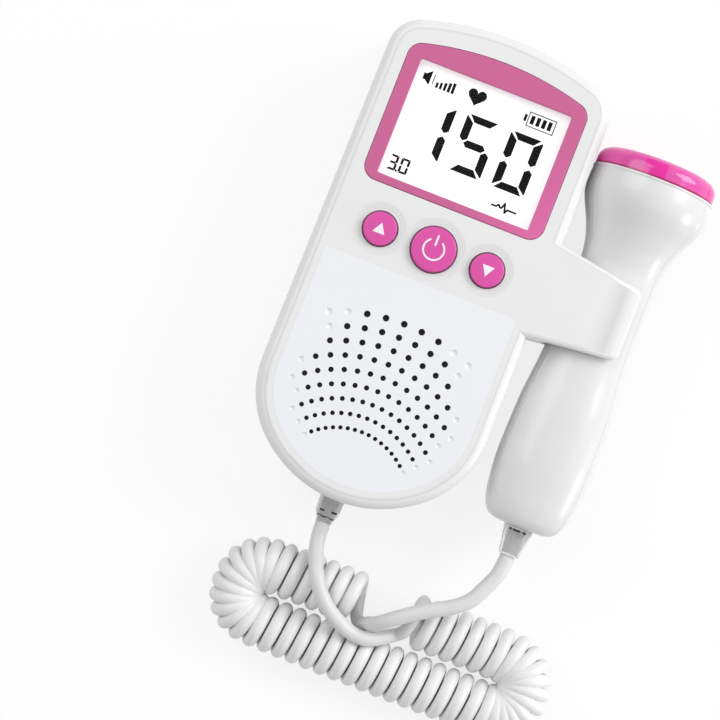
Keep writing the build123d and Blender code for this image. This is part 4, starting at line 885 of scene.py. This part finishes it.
# Probe grip: place along the probe, half width, half depth and how square the section is (2 is an ellipse)
gripShape = {
    "sections": [
        (47.0, 17.68, 17.68, 2.0), (42.5, 17.98, 17.98, 2.0), (39.5, 17.7, 17.6, 2.0),
        (36.3, 16.6, 16.4, 2.02), (33.4, 15.2, 14.9, 2.04), (30.6, 13.95, 13.55, 2.06),
        (25.5, 12.3, 11.6, 2.1), (20.0, 11.65, 10.45, 2.12),
        (6.0, 11.6, 10.15, 2.18), (-8.0, 12.15, 10.45, 2.25), (-24.0, 13.5, 11.9, 2.35),
        (-38.0, 13.75, 12.35, 2.4), (-49.5, 12.85, 11.4, 2.4), (-54.6, 11.5, 10.2, 2.4),
        (-57.0, 9.7, 8.6, 2.4), (-57.78, 7.6, 6.8, 2.4)],
    "wall": 1.7, "rings": 120, "tailCrowding": 0.12, "across": 48,
    "portHalfX": 4.33, "portTop": 3.6, "portLow": -5.2, "grooveTurn": 31.0, "grooveHalf": 1.3,
    "grooveDepth": 0.22, "seamHalf": 1.2, "seamDepth": 0.16, "markClear": 0.6,
    "screwYs": (29.0, -39.0), "screwSeatZ": 10.5, "counterboreR": 2.3, "bossR": 3.3, "holeR": 1.6,
    "wellSteps": 40, "wellInset": 0.5, "wellBelowSeam": 0.2, "cutLowZ": -2,
}


def smoothValue(table, place, column):
    # Cubic through the table's rows that doesn't overshoot between them
    rows = sorted((row[0], row[column]) for row in table)
    slopes = [(rows[i + 1][1] - rows[i][1]) / (rows[i + 1][0] - rows[i][0]) for i in range(len(rows) - 1)]
    tangents = [slopes[0]]
    for before, after in zip(slopes, slopes[1:]):
        tangents.append(0.0 if before * after <= 0 else 2 * before * after / (before + after))
    tangents.append(slopes[-1])
    i = max(j for j in range(len(rows) - 1) if rows[j][0] <= place or j == 0)
    width = rows[i + 1][0] - rows[i][0]
    t = (place - rows[i][0]) / width
    return ((2 * t ** 3 - 3 * t ** 2 + 1) * rows[i][1] + (t ** 3 - 2 * t ** 2 + t) * width * tangents[i]
            + (3 * t ** 2 - 2 * t ** 3) * rows[i + 1][1] + (t ** 3 - t ** 2) * width * tangents[i + 1])


def gripTurns(shape, upper):
    # Angles across one half, with how far in the skin is drawn at each: a fine seam, and on top two grooves
    turns = {180.0 * step / shape["across"]: 0.0 for step in range(1, shape["across"])}
    marks = [(0.0, shape["seamHalf"], shape["seamDepth"]), (180.0, shape["seamHalf"], shape["seamDepth"])]
    if upper:
        marks += [(shape["grooveTurn"], shape["grooveHalf"], shape["grooveDepth"]),
                  (180.0 - shape["grooveTurn"], shape["grooveHalf"], shape["grooveDepth"])]
    for turn, half, depth in marks:
        turns = {angle: inset for angle, inset in turns.items()
                 if abs(angle - turn) > half + shape["markClear"]}
    for turn, half, depth in marks:
        turns.update({angle: 0.0 for angle in (turn - half, turn + half) if 0 < angle < 180})
        turns[turn] = depth
    return sorted((radians(angle + (0 if upper else 180)), inset) for angle, inset in turns.items())


def gripHalf(name, shape, upper):
    table = shape["sections"]
    first, last = table[0][0], table[-1][0]
    # Rings stand closer together towards the round tail
    crowding = shape["tailCrowding"]
    start = cos(crowding * pi)
    phases = [crowding + (1 - crowding) * step / shape["rings"] for step in range(shape["rings"] + 1)]
    places = [first + (last - first) * (start - cos(pi * phase)) / (1 + start) for phase in phases]
    turns = gripTurns(shape, upper)
    form = bmesh.new()
    rings = []
    for y in places:
        halfWidth, halfDepth, square = (smoothValue(table, y, column) for column in (1, 2, 3))
        ring = []
        for angle, inset in turns:
            across, up = cos(angle), sin(angle)
            x = (halfWidth - inset) * abs(across) ** (2 / square) * (1 if across >= 0 else -1)
            z = (halfDepth - inset) * abs(up) ** (2 / square) * (1 if up >= 0 else -1)
            ring.append(form.verts.new((probeX + x, y, probeZ + (0.0 if abs(up) < 1e-6 else z))))
        rings.append(ring)
    # Flat tail with half of the port in it
    port = []
    limitZ = shape["portTop"] if upper else -shape["portLow"]
    for angle, inset in turns:
        reach = min(shape["portHalfX"] / max(abs(cos(angle)), 1e-6), limitZ / max(abs(sin(angle)), 1e-6))
        port.append(form.verts.new((probeX + reach * cos(angle), last, probeZ + reach * sin(angle))))
    rings.append(port)
    for before, after in zip(rings, rings[1:]):
        for step in range(len(turns) - 1):
            skin = form.faces.new((before[step], before[step + 1], after[step + 1], after[step]))
            middle = (turns[step][0] + turns[step + 1][0]) / 2
            # Faces beyond the grooves take the lighter copy of the probe's white: painted light along the
            # grip's sides
            skin.material_index = 1 if upper and abs(cos(middle)) > cos(radians(shape["grooveTurn"])) else 0
    bmesh.ops.recalc_face_normals(form, faces=form.faces)
    form.faces.ensure_lookup_table()
    middleFace = form.faces[(len(rings) // 2) * (len(turns) - 1) + len(turns) // 2]
    if (middleFace.normal.z > 0) != upper:
        bmesh.ops.reverse_faces(form, faces=form.faces)
    bmesh.ops.scale(form, vec=(mm, mm, mm), verts=form.verts)
    shell = linked(name, builtMesh(name, form))
    thick = shell.modifiers.new("wall", "SOLIDIFY")
    thick.thickness = shape["wall"] * mm
    thick.offset = -1
    return shell


def screwWell(y, shape):
    # A sunken seat for a screw, from inside the skin up to the seam
    lowZ = probeZ - smoothValue(shape["sections"], y, 2) + shape["wellInset"]
    topZ = probeZ - shape["wellBelowSeam"]
    profile = [(shape["counterboreR"], lowZ), (shape["counterboreR"], shape["screwSeatZ"]),
               (shape["holeR"], shape["screwSeatZ"]), (shape["holeR"], topZ), (shape["bossR"], topZ),
               (shape["bossR"], lowZ), (shape["counterboreR"], lowZ)]
    return lathe(profile, (probeX, y, 0), shape["wellSteps"])


def cutWells(shell, shape):
    # Takes the wells' holes out of the shell and gives back its mesh
    profile = [(0, shape["cutLowZ"]), (shape["counterboreR"], shape["cutLowZ"]),
               (shape["counterboreR"], shape["screwSeatZ"]), (0, shape["screwSeatZ"])]
    cutters = []
    for y in shape["screwYs"]:
        cutters.append(linked("wellCutter", lathe(profile, (probeX, y, 0), shape["wellSteps"])))
        cut = shell.modifiers.new("well", "BOOLEAN")
        cut.object = cutters[-1]
        cut.operation = "DIFFERENCE"
    mesh = bakedMesh(shell)
    for cutter in cutters:
        bpy.data.objects.remove(cutter)
    return mesh


lipShape = {"lowY": 46.35, "topY": 47.0, "radius": 17.98, "innerR": 17.4, "edgeR": 0.16, "steps": 128}
lipR, lipEdge = lipShape["radius"], lipShape["edgeR"]
lipProfile = [(lipShape["innerR"], lipShape["lowY"]), (lipR - lipEdge, lipShape["lowY"]),
              (lipR, lipShape["lowY"] + lipEdge), (lipR, lipShape["topY"] - lipEdge),
              (lipR - lipEdge, lipShape["topY"]), (lipShape["innerR"], lipShape["topY"])]
lipMesh = lathe(lipProfile, (probeX, 0, probeZ), lipShape["steps"], alongY=True)
piece("probeLip", lipMesh, "whiteCasing", "probe")
frontMesh = softenFaces(bakedMesh(gripHalf("probeFront", gripShape, True)), 40)
piece("probeFrontShell", frontMesh, ("probeWhite", "probeBandWhite"), "probe",
      ["probe_front_shell"])
rearParts = [cutWells(gripHalf("probeRear", gripShape, False), gripShape)]
rearParts += [screwWell(y, gripShape) for y in gripShape["screwYs"]]
rearMesh = softenFaces(joinedMesh("probeRear", rearParts), 40)
# The rear shell is all in the lighter copy of the probe's white: painted light on the grip's sides
piece("probeRearShell", rearMesh, "probeBandWhite", "probe", ["probe_rear_shell"])
print("probe shaped")

# Clear plugs: a nose that goes into the socket, a tail that narrows to the wire, a latch below, dark slots
# that show through the top, their darkness painted shade, and pale strips along its edges that are painted
# highlights. Stations are distance from the rear, width and height; slots are left, right, distance and
# depth;
# paintedReflectionBands are side, start, end and width; paintedCrossBands are the start and end of bands
# across.
mainPlugShape = {
    "x": -18.75, "z": 13.5, "rearY": -76.15,
    "stations": [(-1.1, 4.6, 4.5), (0.5, 5.4, 5.2), (2.1, 6.9, 6.1), (9.0, 7.5, 6.15), (15.0, 7.6, 6.15)],
    "slots": [(-2.3, -1.0, 2.25, 0.55), (1.2, 2.8, 2.45, 0.6)],
    "wave": {"halfWidth": 2.5, "along": 0.62, "depth": 0.17, "thickness": 0.36, "steps": 12},
    "paintedReflectionBands": [(-1, 1.9, 8.0, 0.6), (1, 1.9, 2.9, 0.6), (-1, -1.0, 0.3, 0.35), (1, -1.0, 0.3, 0.35)],
    "paintedCrossBands": [],
}
probePlugShape = {
    "x": probeX, "z": probeZ, "rearY": -66.4,
    "stations": [(0.0, 5.4, 4.9), (0.5, 5.7, 5.1), (8.0, 8.1, 6.15), (9.0, 7.6, 6.15), (15.0, 7.6, 6.15)],
    "slots": [(-2.7, -2.0, 7.5, 0.65), (-1.6, 0.6, 7.4, 0.5), (1.4, 2.3, 7.45, 0.65)],
    "wave": None,
    "paintedReflectionBands": [(-1, 0.1, 8.3, 0.5), (1, 0.1, 8.3, 0.5)],
    "paintedCrossBands": [(0.0, 0.45), (7.8, 8.3)],
}
# What both plugs share: the latch, how far the slot shade and the painted highlight strips stand proud, and
# the flattened wire inside
plugShape = {"rounding": 0.3, "latchWidth": 3.1, "latchDrop": 1.5, "latchThickness": 0.8, "latchLength": 9.0,
             "latchRoot": 0.3, "latchOverlap": 0.05, "slotProud": 0.05, "slotThickness": 0.35,
             "highlightProud": 0.06, "highlightThickness": 0.3, "wireSteps": 20,
             "wireStations": [(-0.2, 4.3, 4.2), (1.6, 4.4, 3.6), (3.4, 4.6, 2.6), (8.8, 4.8, 2.0)]}


def loopFaces(form, first, second):
    # Faces between two closed rows of as many corners
    count = len(first)
    for step in range(count):
        form.faces.new((first[step], first[(step + 1) % count], second[(step + 1) % count], second[step]))


def tubeForm(shape, rings):
    # Skin over rings of points that stand square to the plug, closed at both ends
    form = bmesh.new()
    rows = [[form.verts.new((shape["x"] + across, shape["rearY"] + along, shape["z"] + up))
             for across, up in ring] for along, ring in rings]
    for before, after in zip(rows, rows[1:]):
        loopFaces(form, before, after)
    form.faces.new(rows[0])
    form.faces.new(rows[-1])
    return form


def formMesh(name, form):
    bmesh.ops.recalc_face_normals(form, faces=form.faces)
    bmesh.ops.scale(form, vec=(mm, mm, mm), verts=form.verts)
    return builtMesh(name, form)


def plugMesh(shape):
    corners = ((0.5, -0.5), (0.5, 0.5), (-0.5, 0.5), (-0.5, -0.5))
    rings = [(along, [(width * sx, height * sz) for sx, sz in corners])
             for along, width, height in shape["stations"]]
    form = tubeForm(shape, rings)
    # Latch: a strip that springs away from the nose
    noseAlong, width, height = shape["stations"][-1]
    noseY, lowZ = shape["rearY"] + noseAlong, shape["z"] - height / 2
    rootY, tipY = noseY - plugShape["latchOverlap"], noseY - plugShape["latchLength"]
    tipZ = lowZ - plugShape["latchDrop"]
    side = [(rootY, lowZ + plugShape["latchRoot"]), (rootY, lowZ - plugShape["latchOverlap"]),
            (tipY, tipZ), (tipY, tipZ + plugShape["latchThickness"])]
    left, right = ([form.verts.new((shape["x"] + across, y, z)) for y, z in side]
                   for across in (-plugShape["latchWidth"] / 2, plugShape["latchWidth"] / 2))
    loopFaces(form, left, right)
    form.faces.new(left)
    form.faces.new(right)
    plug = linked("plug", formMesh("plug", form))
    edge = plug.modifiers.new("edges", "BEVEL")
    edge.width = plugShape["rounding"] * mm
    edge.segments = 2
    return softenFaces(bakedMesh(plug), 45)


def plugAt(shape, along):
    # Width and height of the plug at a distance from its rear
    stations = shape["stations"]
    for (before, width, height), (after, nextWidth, nextHeight) in zip(stations, stations[1:]):
        if along <= after:
            part = (along - before) / (after - before)
            return width + (nextWidth - width) * part, height + (nextHeight - height) * part
    return stations[-1][1:]


def slotMesh(shape):
    # Slots for the clamp that holds the wire, and the wavy lip where the wire goes in, as black plates whose
    # darkness is painted shade in those grooves
    loops = []
    for left, right, along, depth in shape["slots"]:
        low, high = along - depth / 2, along + depth / 2
        loops.append(([(left, low), (right, low), (right, high), (left, high)], along))
    if shape["wave"]:
        wave = shape["wave"]
        shares = [step / wave["steps"] for step in range(-wave["steps"], wave["steps"] + 1)]
        line = [(wave["halfWidth"] * share, wave["along"] + wave["depth"] * sin(2 * pi * share))
                for share in shares]
        half = wave["thickness"] / 2
        loops.append(([(x, y - half) for x, y in line] + [(x, y + half) for x, y in reversed(line)],
                      wave["along"]))
    items = []
    for loop, along in loops:
        top = shape["z"] + plugAt(shape, along)[1] / 2 + plugShape["slotProud"]
        items.append((shifted(loop, shape["x"], shape["rearY"]), top - plugShape["slotThickness"], top))
    return plates("slots", items)


def highlightStripMesh(shape):
    # Painted highlights: pale strips that follow the plug's upper edges
    strips = []
    for side, first, last, width in shape["paintedReflectionBands"]:
        between = [along for along, wide, high in shape["stations"] if first < along < last]
        strips.append([(along, side, width) for along in [first] + between + [last]])
    strips += [[(along, 0, 0.0) for along in bar] for bar in shape["paintedCrossBands"]]
    parts = []
    for strip in strips:
        rings = []
        for along, side, highlightWidth in strip:
            width, height = plugAt(shape, along)
            left = width / 2 - highlightWidth if side > 0 else -width / 2
            right = highlightWidth - width / 2 if side < 0 else width / 2
            top = height / 2 + plugShape["highlightProud"]
            low = top - plugShape["highlightThickness"]
            rings.append((along, [(left, low), (left, top), (right, top), (right, low)]))
        parts.append(formMesh("reflectionBand", tubeForm(shape, rings)))
    return softenFaces(joinedMesh("paintedReflectionBands", parts), 30)


def wireEndMesh(shape):
    # The flattened end of the wire, gripped inside the plug
    turns = [2 * pi * step / plugShape["wireSteps"] for step in range(plugShape["wireSteps"])]
    rings = [(along, [(width / 2 * cos(turn), height / 2 * sin(turn)) for turn in turns])
             for along, width, height in plugShape["wireStations"]]
    return softenFaces(formMesh("wireEnd", tubeForm(shape, rings)), 60)


def plugPieces(side, shape, body):
    return [piece(side + "Plug", plugMesh(shape), "clearPlug", body, [side + "_plug"]),
            piece(side + "CordEnd", wireEndMesh(shape), "leadGrey", body),
            piece(side + "PlugSlotShade", slotMesh(shape), "blackPlastic", body),
            piece(side + "PlugPaintedHighlights", highlightStripMesh(shape), "plugRim", body)]


plugPieces("main", mainPlugShape, "monitor")
probePlug, probeCordEnd, probePlugSlotShade, probePlugHighlights = plugPieces("probe", probePlugShape, "probe")
print("plugs made")

# The cord runs from the monitor over to the probe along its last lead
cordMesh.materials.clear()
cordMesh.materials.append(finishes["coilWhite"])
cordMesh.materials.append(finishes["leadGrey"])
# The leads' painted shade ends under the first and last turn
greyIn = len(mainLeadRoute) + cordLook["greyTurnsIn"] * cordLook["pointsPerTurn"]
greyOut = len(probeLeadRoute) + cordLook["greyTurnsOut"] * cordLook["pointsPerTurn"]
for face in cordMesh.polygons:
    face.use_smooth = True
    place = face.index / len(cordMesh.polygons) * len(cordRoute)
    face.material_index = 0 if greyIn < place < len(cordRoute) - greyOut else 1
cord = linked("curlyCord", cordMesh)
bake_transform(cord)
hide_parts("main_lead", "curly_cord", "probe_lead")
print("cord laid")

# Pale floor that keeps the shadows and shows white, and soft studio light from the upper right
studioLook = {
    "floorSize": 4.0, "floorDrop": 0.0002, "floorRoughness": 0.9,
    "floorTone": 0.6, "floorSeen": 1.0, "floorGlow": 0.8, "world": 0.53, "worldTone": (1, 1, 1),
    "aim": (-0.01, -0.03, 0.02),
    "key": {"place": (1.6, 1.1, 1.15), "size": 1.3, "power": 29.0},
    "fill": {"place": (-1.3, 0.65, 1.65), "size": 1.5, "power": 15.0},
    "side": {"place": (1.95, -0.3, 0.22), "size": 0.4, "power": 7.5},
}


def floorFinish(look):
    # White where a ray from the view, a reflection or glass meets it, and a middle grey for the light
    material, tree, shader = newMaterial("paleFloor")
    join(tree, look["floorRoughness"], shader.inputs["Roughness"])
    join(tree, 0.0, shader.inputs["Specular IOR Level"])
    rays = addNode(tree, "LightPath").outputs
    seen = mathNode(tree, "ADD", rays["Is Camera Ray"], rays["Is Glossy Ray"], clamp=True)
    seen = mathNode(tree, "ADD", seen, rays["Is Transmission Ray"], clamp=True)
    colour = mixColour(tree, seen, [look["floorTone"]] * 3, [look["floorSeen"]] * 3)
    join(tree, colour, shader.inputs["Base Color"])
    mix = addNode(tree, "MixShader")
    join(tree, mathNode(tree, "MULTIPLY", seen, look["floorGlow"]), mix.inputs[0])
    join(tree, shader.outputs[0], mix.inputs[1])
    join(tree, addNode(tree, "Emission").outputs[0], mix.inputs[2])
    join(tree, mix.outputs[0], tree.nodes["Material Output"].inputs["Surface"])
    return material


floorForm = bmesh.new()
bmesh.ops.create_grid(floorForm, x_segments=1, y_segments=1, size=studioLook["floorSize"])
bmesh.ops.translate(floorForm, vec=(0, 0, -studioLook["floorDrop"]), verts=floorForm.verts)
floor = linked("floor", builtMesh("floor", floorForm))
floor.data.materials.append(floorFinish(studioLook))

world = bpy.data.worlds.new("studio")
scene.world = world
world.use_nodes = True
sky = world.node_tree.nodes["Background"]
join(world.node_tree, studioLook["worldTone"], sky.inputs["Color"])
join(world.node_tree, studioLook["world"], sky.inputs["Strength"])
for name in ("key", "fill", "side"):
    lamp = bpy.data.lights.new(name, "AREA")
    lamp.size = studioLook[name]["size"]
    lamp.energy = studioLook[name]["power"]
    lampObject = linked(name, lamp)
    lampObject.location = studioLook[name]["place"]
    aim = Vector(studioLook["aim"]) - lampObject.location
    lampObject.rotation_euler = aim.to_track_quat("-Z", "Y").to_euler()
scene.view_settings.view_transform = "Standard"
print("studio lit")
